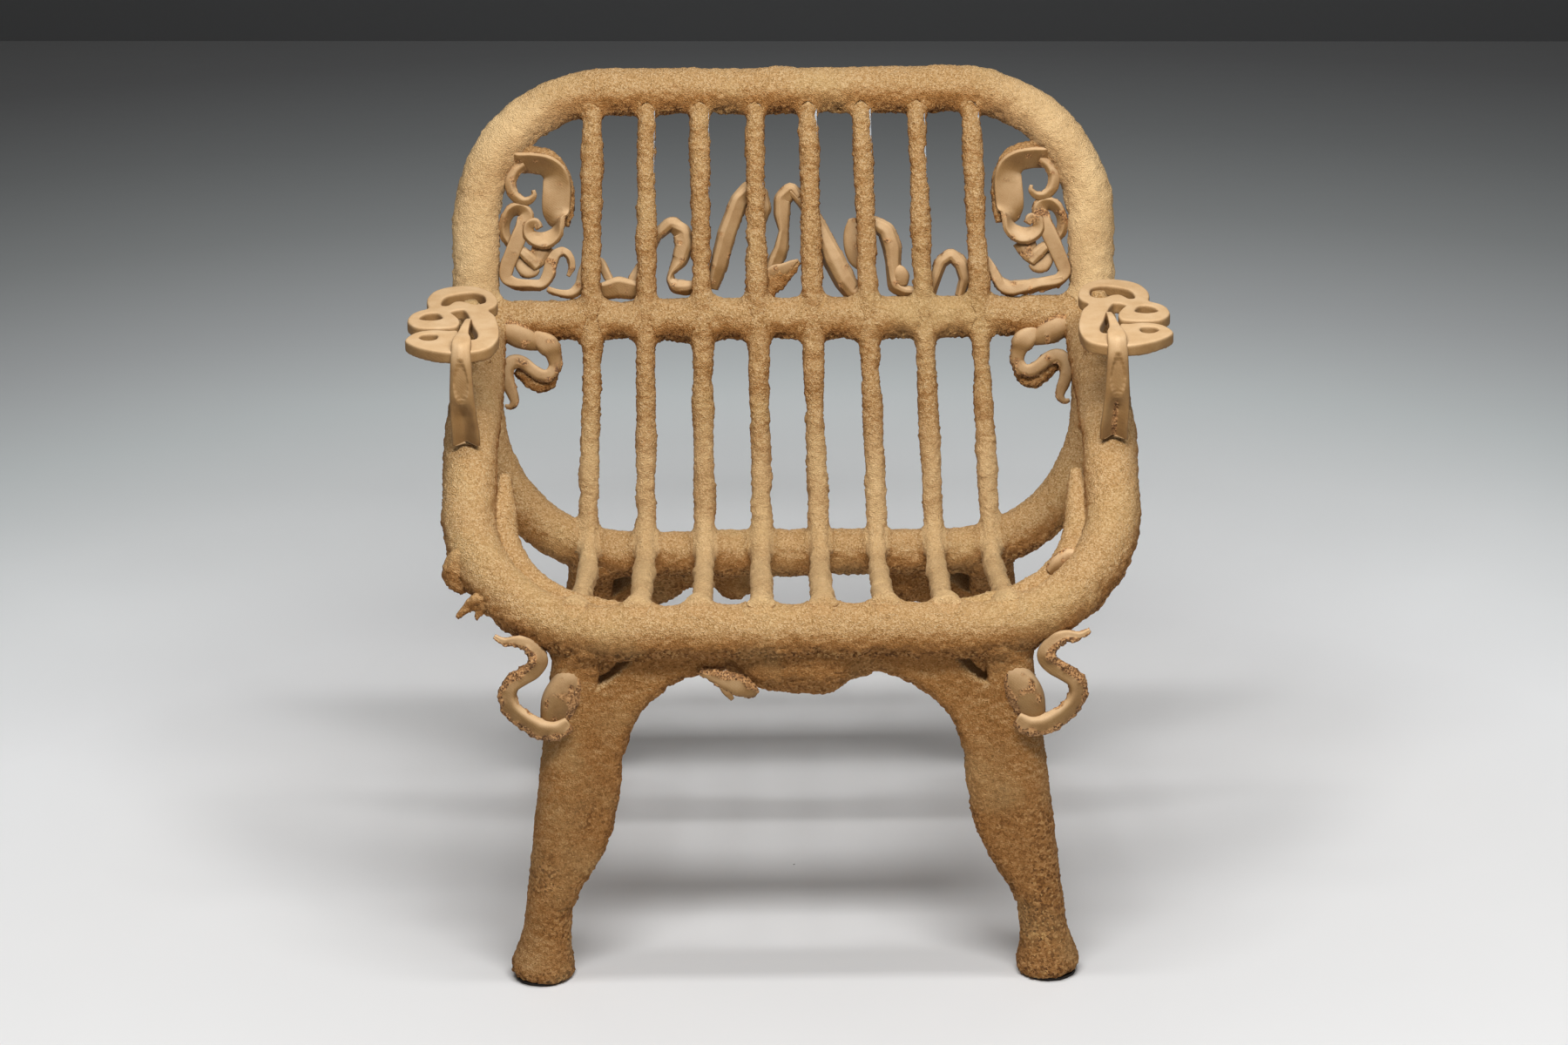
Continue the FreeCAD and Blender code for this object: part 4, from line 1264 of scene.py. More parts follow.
SCROLLS = (C_SCROLL, C_CRUST, HOOK, LEAF_ARM, LEAF_GROOVE, LEAF_LOBE)

TAIL_BULB = Ribbon("tail_bulb", (
    (-330, 270, 9, 6, 6, 0), (-320, 260, 13, 12, 11, 0), (-309, 254, 15, 14.5, 13, 0),
    (-298, 248, 15, 14, 12, 0), (-288, 242, 13, 10, 9, 0), (-281, 237, 10, 5, 5, 0)),
    ("tail",), power=2.1, crust=0.9, lee=(0, 0, 1.5))
TAIL_BEND = Ribbon("tail_bend", (
    (-287, 250, 8, 6, 7, 0), (-277, 244, 11, 8.6, 8, 0), (-269, 237, 12, 9.4, 8, 0),
    (-265, 228, 10, 6.6, 6, 0), (-263, 216, 8, 5.6, 5, 0), (-269, 206, 8, 5.4, 5, 0),
    (-279, 205, 8, 5.4, 5, 0), (-289, 211, 8, 5.4, 5, 0), (-299, 219, 8, 5.6, 5, 0),
    (-309, 221, 8, 6, 5.4, 0), (-317, 215, 8, 6.2, 5.4, 0), (-319, 205, 8, 5.8, 5, 0),
    (-316, 193, 7, 5.2, 4.6, 0), (-312, 183, 6, 4.6, 4.2, 0), (-311, 175, 6, 3.4, 3.4, 0),
    (-315, 170, 6, 2.4, 2.4, 0), (-321, 171, 6, 1.2, 1.2, 0)),
    ("tail",), power=3, crust=0.8, swell=1.32, lee=(0.8, 0, -1.6))
TAIL_CRUST = Ribbon("tail_crust", (
    (-308, 212, -2, 5, 6, 0), (-298, 206, -3, 9, 9, 0), (-287, 198, -4, 10.5, 10, 0),
    (-276, 195, -4, 10, 10, 0), (-267, 201, -3, 7.5, 8, 0), (-262, 210, -2, 4, 5, 0)),
    ("tail",), power=2, rough=True)
TAILS = (TAIL_BULB, TAIL_BEND, TAIL_CRUST)

FACETED = {"folded": True, "carved": True, "swell": 1.2}
GARLAND = (
    Ribbon("garland_lump", (
        (-214, 303, 0, 4, 6, 30), (-204, 303, 2, 8, 7, 34), (-189, 307, 4, 10, 8, 38),
        (-175, 304, 3, 9, 7, 40), (-162, 301, 0, 6, 6, 36)),
        ("garland_loop",), **FACETED),
    Ribbon("garland_sprig", (
        (-176, 300, -2, 5, 3.4, 0), (-170, 315, -4, 6, 3.4, -10), (-163, 330, -8, 4, 3, -10)),
        ("garland_loop",), **FACETED),
    Ribbon("garland_loop", (
        (-152, 344, -6, 4.4, 4, -20), (-144, 362, -2, 5.4, 4, -26), (-127, 375, 2, 7, 4.4, -20),
        (-114, 366, 4, 8.4, 5, 24), (-111.5, 350, 4, 9, 5, 34), (-117, 334, 4, 7.4, 4.6, 30),
        (-129, 320, 4, 3, 4, 0), (-131, 312, 4, 4, 4.4, -20), (-125, 303, 4, 7, 5, -24),
        (-112, 302, 4, 7.4, 5, -10), (-98, 305, 2, 5, 4.4, 0)),
        ("garland_loop",), **FACETED),
    Ribbon("garland_strip", (
        (-84, 302, -4, 5, 5, 26), (-76, 328, 0, 7.6, 6, 26), (-66, 364, 2, 8.4, 6, 26),
        (-51, 402, 2, 8, 6, 26), (-38, 416, 0, 7.6, 5, 10), (-26, 410, -2, 6.6, 5, -20),
        (-22, 392, -2, 6, 5, -24), (-26, 368, -4, 2, 3, -10)),
        ("garland_strip",), **FACETED),
    Ribbon("garland_peak_left", (
        (-30, 300, -4, 8, 6, 0), (-16, 322, 0, 7.6, 6, 20), (-5, 345, 2, 6, 6, 26),
        (-0.5, 366, 3, 4, 5, 22), (-3, 384, 3, 7, 5.4, 28), (-2, 403, 3, 7.6, 5.4, 28),
        (9.5, 414, 3, 7, 5, 20), (18, 404, 2, 5, 5, 0)),
        ("garland_peak",), **FACETED),
    Ribbon("garland_peak_right", (
        (9, 412, 2, 5.6, 5, -26), (22, 398, 1, 6.4, 5.6, -28), (38, 372, 1, 7, 6, -28),
        (47, 350, 1, 9, 6, -30), (54, 332, 2, 11.6, 6.6, -30), (66, 308, 2, 11, 6.6, -30),
        (76, 295, 1, 9.6, 6, -24), (92, 291, 0, 8, 5.4, -10)),
        ("garland_peak",), **FACETED),
    Ribbon("garland_bulge", (
        (78, 380, -10, 4, 4, 0), (80, 368, -9, 11, 5, -14), (81, 350, -8, 13, 5.4, -16),
        (84, 334, -8, 11, 5, -14), (88, 322, -9, 4, 4, 0)),
        ("garland_wave",), power=3),
    Ribbon("garland_wave", (
        (90, 360, -6, 5, 5, -20), (102, 373, 0, 7, 5.4, -24), (115, 364, 2, 9, 6, -30),
        (121, 345, 3, 9.4, 6, -30), (122, 328, 3, 7.4, 5.6, -26), (123, 312, 3, 6.6, 5, -16),
        (125, 302, 3, 7, 5, -6), (136, 296, 2, 6, 5, 0), (153, 295, 0, 5, 4.6, 0)),
        ("garland_wave",), **FACETED),
    Ribbon("garland_lobe", (
        (125, 323, 2, 4, 4, 0), (130, 319, 4, 8, 6, 0), (133, 312, 4, 9, 6, 0), (134, 303, 3, 6, 5, 0)),
        ("garland_wave",), power=2.4),
    Ribbon("garland_arch", (
        (164, 288, -2, 5, 4.6, 0), (172, 310, 1, 5.4, 5, -10), (179, 328, 2, 6, 5, -14),
        (190, 336, 3, 6, 5, -20), (200, 325, 3, 7, 5.6, -34), (204, 309, 2, 6, 5, -24),
        (198, 290, 0, 4, 4, 0)),
        ("garland_arch",), **FACETED),
    Ribbon("garland_end", (
        (224, 336, -4, 3, 3.4, 0), (231, 326, 1, 4.4, 4, -14), (243, 305, 3, 5, 4.4, -20),
        (256, 300, 4, 4.6, 4.4, -16), (278, 302, 5, 4.6, 4.4, -10), (298, 305, 6, 5, 4.6, -6),
        (316, 309, 7, 5, 5, 0)),
        ("garland_arch",), **FACETED),
    Ribbon("garland_torn", (
        (-26, 291, 0, 13, 8, 0), (-20, 303, 1, 13, 8, 0), (-10, 312, 3, 14, 8, -10),
        (0, 319, 6, 10, 6, -16), (10, 326, 8, 6, 4, -10), (17, 331, 9, 2, 2, 0)),
        ("garland_peak",), power=3, rough=True),
    Ribbon("garland_flake", (
        (-22, 318, 9, 3, 2, -10), (-12, 320, 11, 7, 2.4, -10), (-2, 322, 12, 7, 2.4, -14),
        (8, 328, 12, 4.4, 2.2, -10), (15, 332, 12, 1.4, 1.6, 0)),
        ("garland_peak",), power=3),
)

LEG_HOOK = Ribbon("leg_hook", (
    (-238, 310, 20, 7, 7, 0), (-252, 302, 22, 10, 9, 0), (-268, 303, 21, 10.4, 8, 6),
    (-284, 312, 19, 10, 7, 16), (-297, 324, 17, 9.6, 6, 24), (-302, 337, 15, 9.6, 5.6, 24),
    (-298, 350, 14, 9, 6, 16), (-286, 359, 13, 9, 6, 4), (-274, 367, 12, 9.6, 5.6, -8),
    (-268, 378, 12, 10, 5.6, -20), (-274, 390, 11, 8.6, 5, -24), (-287, 398, 10, 6.8, 4.6, -20),
    (-303, 398, 9, 4, 3.6, -14), (-314, 404, 8, 1.4, 1.6, 0)),
    ("leg_hook",), power=3.4, plane=Plane.FRONT, crust=1.0, edge=0.45)
LEG_BULB = Ribbon("leg_bulb", (
    (-260, 297, 6, 7, 8, 0), (-255, 310, 9, 14, 13, 0), (-249, 325, 10, 19, 15, 0),
    (-242, 341, 10, 19, 15, 0), (-235, 356, 8, 14, 13, 0), (-231, 366, 6, 6, 7, 0)),
    ("leg_hook",), power=2.2, plane=Plane.FRONT, crust=0.9, lee=(2.4, 0, -1.6))
UNDER_LEAVES = (
    Ribbon("left_high_leaf", (
        (-340, 474, -60, 4, 6, 0), (-351, 469, -58, 11, 9, 0), (-356, 458, -56, 14, 11, 0),
        (-357, 447, -54, 13, 10, 0), (-353, 437, -50, 9, 7, 0), (-350, 430, -48, 3, 4, 0)),
        ("corner_leaves",), power=2.2, plane=Plane.FRONT, rough=True),
    Ribbon("left_low_leaf", (
        (-318, 430, -24, 9, 8, 0), (-331, 431, -23, 10, 7, 10), (-342, 426, -22, 8, 5, 16),
        (-350, 420, -20, 5, 3.4, 10), (-355, 415, -18, 1.4, 1.6, 0)),
        ("corner_leaves",), power=2.4, plane=Plane.FRONT, rough=True),
    Ribbon("left_torn_leaf", (
        (-324, 429, -23, 8, 6, 0), (-330, 420, -22, 6, 4, -10), (-334, 411, -20, 1.4, 1.6, 0)),
        ("corner_leaves",), folded=True, power=2.4, plane=Plane.FRONT, rough=True),
    Ribbon("right_high_leaf", (
        (274, 444, -56, 4, 4, 0), (284, 452, -58, 9, 7, 0), (295, 459, -60, 10, 7, 0),
        (304, 458, -60, 7, 6, 0), (310, 450, -60, 2, 2, 0)),
        ("corner_leaves",), power=2.4, plane=Plane.FRONT, crust=0.9),
    Ribbon("rail_leaf", (
        (-97, 362, 12, 3, 3, 0), (-85, 359, 15, 6.4, 4, 10), (-71, 355, 18, 9, 5, 16),
        (-57, 349, 18, 10.4, 5, 16), (-46, 343, 16, 8, 5, 10), (-38, 339, 14, 3, 3, 0)),
        ("apron_leaf",), power=3, plane=Plane.FRONT, crust=1.0, lee=(-1.5, 0, -1.5), edge=0.5),
    Ribbon("rail_flake", (
        (-72, 350, 19, 6, 4, 0), (-68, 342, 21, 5, 3, 10), (-64, 335, 21, 1.4, 1.6, 0)),
        ("apron_leaf",), folded=True, plane=Plane.FRONT, crust=1.0),
)


@dataclass
class Scrollwork:
    """The printed ornaments: ribbons on the back and legs, and a scroll plate and strap on each arm.

    Attributes:
        frame: The chair's shared sizes.
        crumb: The paste's relief.
        plate_half: Half the plate's thickness; plate_edge rounds its edges.
        plate_height: The height of its middle.
        plate_shift: How far it's moved to the right, on the left side.
        plate_box: A box round the left plate, as its low and high corner from the plate's middle.
        outline: The left plate's outline, in x and distance behind the front rail.
        holes: The outlines cut out of it.
        strap_x: The right strap's distance from the middle.
        strap_rows: Its knots: x, distance back and height from the plate's top, half width and half
            thickness.
        facet_drop: How far below the plate's top the middle of the strap's oval facet is.
        facet_half: Half the facet's width, as a share of the strap's half width, and half its height.
        ridge_height: The height of the strap's middle ridge round the facet.
        groove_depth: The depth of the groove below it.
        groove_drops: How far below the plate's top the groove starts and where it's whole.
    """

    frame: ChairFrame
    crumb: Crumb
    plate_half: float = 6.8
    plate_edge: float = 2.4
    plate_height: float = 665.0
    plate_shift: float = -0.5
    plate_box: tuple = ((-424, 126, -12), (-306, 384, 12))
    outline: tuple = (
        (-411, 176), (-410, 190), (-403, 204), (-393, 211), (-380, 213), (-366, 210), (-358, 211),
        (-355, 201), (-348, 186), (-340, 179), (-335, 184), (-335, 200), (-341, 226), (-346, 250),
        (-351, 271), (-357, 283), (-368, 275), (-363, 262), (-358, 248), (-357, 234), (-361, 223),
        (-377, 219), (-391, 219), (-402, 222), (-409, 231), (-414, 246), (-412, 266), (-405, 279),
        (-396, 287), (-395, 295), (-397, 309), (-397, 327), (-391, 348), (-379, 361), (-364, 367),
        (-348, 366), (-334, 355), (-324, 337), (-319, 312), (-321, 295), (-327, 281), (-320, 262),
        (-316, 240), (-312, 212), (-312, 183), (-317, 157), (-328, 143), (-346, 136), (-364, 137),
        (-382, 145), (-399, 158))
    holes: tuple = (
        ((-380, 300), (-380, 316), (-375, 330), (-364, 339), (-350, 344), (-338, 337), (-333, 322),
         (-334, 306), (-345, 301), (-356, 311), (-366, 311), (-374, 297)),
        ((-401, 252), (-398, 265), (-391, 272), (-384, 272), (-379, 264), (-377, 252), (-388, 246)),
        ((-397, 188), (-393, 198), (-386, 200), (-379, 198), (-377, 189), (-380, 180), (-389, 178)))
    strap_x: float = 349.5
    strap_rows: tuple = (
        (-4, 246, -9, 2.5, 2.2), (-3, 232, 3, 3, 2.6), (-2, 206, 7, 4, 3), (0, 182, 4, 6, 4),
        (0, 164, 4, 9.4, 5), (0, 148, 2, 10.6, 5.6), (0, 138, -7, 11, 6), (0, 134, -22, 11.8, 6),
        (0, 133, -50, 13.2, 6), (-1, 135, -76, 14.2, 6), (-2, 138, -92, 14.8, 6), (-2, 143, -106, 15, 6))
    facet_drop: float = 32.0
    facet_half: tuple = (0.6, 22)
    ridge_height: float = 5.2
    groove_depth: float = 11.0
    groove_drops: tuple = (46, 74)

    def ribbon(self, ribbon: Ribbon, side: str) -> None:
        """Make one ribbon, mirrored for the right side, with paste on its back.

        Args:
            ribbon: Its table.
            side: "left", "right", or "" for one in the middle.
        """
        name = f"{side}_{ribbon.name}" if side else ribbon.name
        sweep = ribbon.sweep(self.frame, name)
        surface = sweep.surface()
        across, lift = sweep.axes()
        across = np.sum((surface - sweep.line[:, None]) * across[:, None], axis=-1)
        across /= np.broadcast_to(sweep.half_side, len(sweep.line))[:, None]
        lee = np.array(ribbon.lee)
        if side == "right":
            surface, across = surface[:, ::-1] * MIRROR, across[:, ::-1]
            lift, lee = lift * MIRROR, lee * MIRROR
        normals = surface_normals(surface, False)
        if ribbon.rough:
            coarse = np.maximum(self.crumb.coarseness(surface, normals), 0.4)
            height = self.crumb.height(surface, coarse, 0.8)
        else:
            behind = normals @ lee - np.sum(normals * lift[:, None], axis=-1)
            if ribbon.edge > 0:
                behind = np.maximum(behind, 2 * ribbon.edge - 1 - across)
            else:
                behind = np.maximum(behind, 0)
            behind += 0.45 * soft_noise(surface, 9, 41)
            coarse = ribbon.crust * smooth_share(0.05, 0.5, behind)
            height = coarse * (0.8 + self.crumb.height(surface, coarse, 0.3))
            height += 0.25 * soft_noise(surface, 13, 42)
        surface = surface + normals * height[..., None]
        made = make_mesh(f"{name}_ribbon", surface, False)
        nodes = tuple(f"{side}_{node}" if side else node for node in ribbon.nodes)
        finish_piece(made, Slot.PASTE if ribbon.rough else Slot.PRINT, nodes, coarse=coarse)

    def plate(self, side: str) -> None:
        """Make one arm's scroll: a flat plate with rounded edges, cut through by three holes."""
        flip = -1 if side == "right" else 1
        line = flowing_line(np.array(self.outline, float), 3, closed=True)
        holes = tuple(flowing_line(np.array(hole, float), 3, closed=True) for hole in self.holes)
        stencil = Stencil(line, holes, 16, 1.0)
        centre = self.frame.place(0, 0, self.plate_height)

        def gap(points: Array) -> Array:
            offset = points - centre
            flat = offset[:, :2] * [flip, 1] - [self.plate_shift, 0]
            swell = 0.5 * soft_noise(points, 30, 44)
            return slab_gap(stencil.gap(flat) + swell, offset[:, 2], self.plate_half, self.plate_edge)

        corners = np.array(self.plate_box) * [flip, 1, 1]
        points, faces = net_surface(gap, centre + corners.min(0), centre + corners.max(0), 1.5)
        normals = net_normals(points, faces)
        coarse = 0.5 * smooth_share(-0.2, -0.8, normals[:, 2] + 0.3 * soft_noise(points, 9, 45))
        points = points + normals * (coarse * self.crumb.height(points, coarse, 0.3))[:, None]
        made = link_mesh(f"{side}_scroll_plate", points, faces.tolist())
        finish_piece(made, Slot.PRINT, (f"{side}_arm_scroll",), coarse=coarse)

    def strap(self, side: str) -> None:
        """Make the strap that folds over the plate's front edge and runs down to the arm.

        Its front has an oval facet high up and a groove below it. Both are heights over the strap's
        width and length: a ridge runs down the middle, the facet flattens an oval of it, and the
        groove deepens towards the middle. The left strap is the right one's mirror image.
        """
        top = self.plate_height + self.plate_half
        rows = np.array(self.strap_rows) + [self.strap_x, 0, top, 0, 0]
        table = flowing_line(rows, 1.4)
        line = self.frame.place(0, 0, 0) + table[:, :3]
        forward = unit(np.gradient(line, axis=0))
        sweep = Sweep(f"{side}_arm_strap", line, np.cross(forward, RIGHT) * -1, table[:, 3], table[:, 4],
                      4.0, around=72)
        surface = sweep.surface()
        normals = surface_normals(surface, False)
        across = (surface[..., 0] - line[:, None, 0]) / table[:, 3][:, None]
        drop = top - line[:, None, 2] + 0 * across
        front = smooth_share(0.2, 0.7, -normals[..., 1])
        valley = smooth_share(*self.groove_drops, drop)
        facet_side, facet_length = self.facet_half
        oval = 1 - (across / facet_side) ** 2 - np.abs((self.facet_drop - drop) / facet_length) ** 1.5
        oval = smooth_share(-0.05, 0.07, oval)
        inward = np.maximum(1 - np.abs(across), 0)
        ridge = self.ridge_height * inward * (1 - valley)
        relief = front * (np.where(oval > 0, ridge * (1 - oval) + 0.4 * oval, ridge)
                          - self.groove_depth * valley * inward ** 1.2)
        groove = valley * smooth_share(0.22, 0.0, np.abs(across))
        surface = surface + normals * relief[..., None]
        if side == "left":
            surface = (surface * MIRROR)[:, ::-1]
        normals = surface_normals(surface, False)
        coarse = smooth_share(0.3, 0.8, groove * front + 0.3 * soft_noise(surface, 5, 46))
        coarse = np.maximum(coarse, smooth_share(0.2, 0.8, normals[..., 1]) * 0.7)
        surface = surface + normals * (coarse * self.crumb.height(surface, coarse, 0.3))[..., None]
        made = make_mesh(f"{side}_strap", surface, False)
        finish_piece(made, Slot.PRINT, (f"{side}_arm_strap",), coarse=coarse)

    def build(self) -> None:
        """Make every ornament."""
        for side, own in (("left", (S_RIBBON, SWOOSH)), ("right", (RIGHT_S_RIBBON,))):
            for ribbon in SCROLLS + own + TAILS + (LEG_HOOK, LEG_BULB):
                self.ribbon(ribbon, side)
            self.plate(side)
            self.strap(side)
        for ribbon in GARLAND + UNDER_LEAVES:
            self.ribbon(ribbon, "")


def linear(code: str) -> tuple[float, float, float, float]:
    """Turn an sRGB hex value into the linear colour that a shader takes."""
    channels = [int(code[index:index + 2], 16) / 255 for index in (1, 3, 5)]
    low = [value / 12.92 if value <= 0.04045 else ((value + 0.055) / 1.055) ** 2.4 for value in channels]
    return low[0], low[1], low[2], 1.0


def add_node(tree: bpy.types.NodeTree, kind: str, inputs: dict | None = None, **settings) -> bpy.types.Node:
    """Add a node, set its sockets and properties, and link its inputs.

    Args:
        tree: The node tree.
        kind: The node's type name, without its "ShaderNode" prefix.
        inputs: Input names or numbers, each with the output socket that feeds it or with its value.
        settings: Properties, or input values where the name is an input with spaces as underscores.

    Returns:
        The new node.
    """
    node = tree.nodes.new("ShaderNode" + kind)
    for name, value in settings.items():
        if hasattr(node, name):
            setattr(node, name, value)
        else:
            node.inputs[name.replace("_", " ")].default_value = value
    for name, source in (inputs or {}).items():
        if isinstance(source, bpy.types.NodeSocket):
            tree.links.new(source, node.inputs[name])
        else:
            node.inputs[name].default_value = source
    return node


@dataclass
class Recipe:
    """A new material's node tree, with the steps that its recipes repeat.

    Attributes:
        name: The material's name.
    """

    name: str

    def __post_init__(self) -> None:
        """Start with an empty tree and the Object coordinates."""
        self.material = bpy.data.materials.new(self.name)
        self.material.use_nodes = True
        self.tree = self.material.node_tree
        self.tree.nodes.clear()
        self.place = add_node(self.tree, "TexCoord").outputs["Object"]

    def noise(self, size: float, detail: float) -> bpy.types.NodeSocket:
        """Give noise of a size in millimetres."""
        settings = {"Scale": 1 / (size * METRE), "Detail": detail}
        return add_node(self.tree, "TexNoise", {"Vector": self.place, **settings}).outputs["Fac"]

    def cells(self, size: float, channel: str) -> tuple[bpy.types.NodeSocket, bpy.types.NodeSocket]:
        """Give cells of a size in millimetres: each one's random tone, and the distance from its middle."""
        node = add_node(self.tree, "TexVoronoi", {"Vector": self.place, "Scale": 1 / (size * METRE)})
        tone = add_node(self.tree, "SeparateColor", {"Color": node.outputs["Color"]})
        return tone.outputs[channel], node.outputs["Distance"]

    def stored(self, name: str) -> bpy.types.NodeSocket:
        """Read the values that a mesh keeps under a name."""
        return add_node(self.tree, "Attribute", attribute_name=name).outputs["Fac"]

    def upward(self) -> bpy.types.NodeSocket:
        """Give how far up a face looks: 1 up, 0 level and -1 down."""
        normal = add_node(self.tree, "NewGeometry").outputs["Normal"]
        return add_node(self.tree, "SeparateXYZ", {"Vector": normal}).outputs["Z"]

    def remap(self, value: bpy.types.NodeSocket, **limits: float) -> bpy.types.NodeSocket:
        """Stretch a value between new limits and cut it off there."""
        return add_node(self.tree, "MapRange", {"Value": value}, **limits).outputs["Result"]

    def blend(self, share: Feed, first: Feed, second: Feed) -> bpy.types.NodeSocket:
        """Blend two values; share, a socket or a number, says how much of the second there is."""
        return add_node(self.tree, "Mix", {0: share, 2: first, 3: second}).outputs[0]

    def paint(self, share: Feed, first: Feed, second: Feed) -> bpy.types.NodeSocket:
        """Blend two colours, each a socket or a linear colour, in the same way."""
        return add_node(self.tree, "Mix", {0: share, 6: first, 7: second}, data_type="RGBA").outputs[2]

    def ramp(self, source: bpy.types.NodeSocket, stops: tuple) -> bpy.types.NodeSocket:
        """Turn a value into colours by stops, each a place from 0 to 1 and a hex colour."""
        node = add_node(self.tree, "ValToRGB", {"Fac": source})
        band = node.color_ramp
        while len(band.elements) < len(stops):
            band.elements.new(0.5)
        for element, (place, code) in zip(band.elements, stops):
            element.position = place
            element.color = linear(code)
        return node.outputs["Color"]

    def math(self, operation: str, *inputs: Feed) -> bpy.types.NodeSocket:
        """Apply an operation to sockets or numbers."""
        return add_node(self.tree, "Math", dict(enumerate(inputs)), operation=operation).outputs[0]

    def bump(self, height: bpy.types.NodeSocket, strength: float, distance: float) -> bpy.types.NodeSocket:
        """Turn a height into a normal, where distance is the relief's depth in millimetres."""
        inputs = {"Height": height, "Strength": strength, "Distance": distance * METRE}
        return add_node(self.tree, "Bump", inputs).outputs["Normal"]

    def finish(self, colour: Feed, **settings: Feed) -> bpy.types.Material:
        """Add the shader and its output, and give the material."""
        inputs = {name.replace("_", " "): value for name, value in settings.items()}
        shader = add_node(self.tree, "BsdfPrincipled", {"Base Color": colour, **inputs})
        add_node(self.tree, "OutputMaterial", {"Surface": shader.outputs["BSDF"]})
        return self.material


@dataclass(frozen=True)
class SawdustPaste:
    """Sawdust and torn flakes bound with glue, packed by hand and left to dry: matt, speckled, pitted.

    Sizes are in millimetres. Real dust is about 0.6 mm; the grain is drawn at 1.5 mm, the finest
    that shows in the render.

    Attributes:
        grain: The size of the grains where the paste is smooth.
        flake: The size of the flakes where it's coarse.
        stain_and_floor_shade: The size of the slow stains.
        wash: The size of the pale patches, of wash_colour.
        grit: The size of the finest grit in the bump.
        rubbed_colour: The paler colour that paints light on the back hoop's sides and the seat's slats.
        bare: Colours by tone where a smooth face is level or looks down, darker: a painted side shade.
        lit_top: Colours where it looks up, paler: a painted top light.
        torn: Colours where the paste is coarse, darker: partly the torn flakes' own
        colour, partly painted shade on faces that look down and near the floor.
    """

    grain: float = 1.5
    flake: float = 2.6
    stain_and_floor_shade: float = 60.0
    wash: float = 95.0
    grit: float = 0.9
    wash_colour: str = "#CDB27C"
    rubbed_colour: str = "#ECCA96"
    bare: tuple = ((0.08, "#815624"), (0.32, "#996834"), (0.62, "#A5723E"), (0.92, "#BA8C56"))
    lit_top: tuple = ((0.08, "#967142"), (0.32, "#AF8857"), (0.62, "#BA9566"), (0.92, "#CBAB80"))
    torn: tuple = ((0.06, "#53341B"), (0.30, "#7D5128"), (0.52, "#9B6B38"), (0.72, "#AC7B49"),
                   (0.92, "#C3985F"))

    def build(self) -> bpy.types.Material:
        """Mix grain colours by cell, darken the coarse parts, add the patches and raise the grain.

        Faces that look up get paler colours than the rest, a painted top light and side shade. The
        coarse parts' darkness is partly painted shade, and the pale colour on the back hoop's sides
        and the seat's slats is painted light.
        """
        recipe = Recipe("sawdust_paste")
        coarse = recipe.stored("coarse")
        grain_tone, grain_distance = recipe.cells(self.grain, "Red")
        flake_tone, _ = recipe.cells(self.flake, "Green")
        stain_and_floor_shade = recipe.noise(self.stain_and_floor_shade, 3.0)
        tone = recipe.blend(0.2, recipe.blend(coarse, grain_tone, flake_tone), stain_and_floor_shade)
        # Faces that look up take the paler colours and the rest the darker: a painted top light and side
        # shade.
        upward = recipe.remap(recipe.upward(), From_Min=-0.05, From_Max=0.45)
        colour = recipe.paint(upward, recipe.ramp(tone, self.bare), recipe.ramp(tone, self.lit_top))
        # Coarse parts take darker colours: partly the flakes' own colour, partly painted shade on faces
        # that look down and near the floor.
        colour = recipe.paint(coarse, colour, recipe.ramp(tone, self.torn))
        pale = recipe.remap(recipe.noise(self.wash, 4.0), From_Min=0.52, From_Max=0.72, To_Max=0.25)
        colour = recipe.paint(pale, colour, linear(self.wash_colour))
        # Paler colour paints light on the back hoop's sides and the seat's slats, uneven with the stains'
        # noise.
        uneven = recipe.remap(stain_and_floor_shade, From_Min=0.3, From_Max=0.7, To_Min=0.3, To_Max=0.75)
        rubbed = recipe.math("MULTIPLY", recipe.stored("rubbed"), uneven)
        colour = recipe.paint(rubbed, colour, linear(self.rubbed_colour))
        relief = recipe.math("ADD", grain_distance, recipe.noise(self.grit, 2.0))
        return recipe.finish(colour, Normal=recipe.bump(relief, 0.9, 1.6), Roughness=0.92,
                             Specular_IOR_Level=0.22)


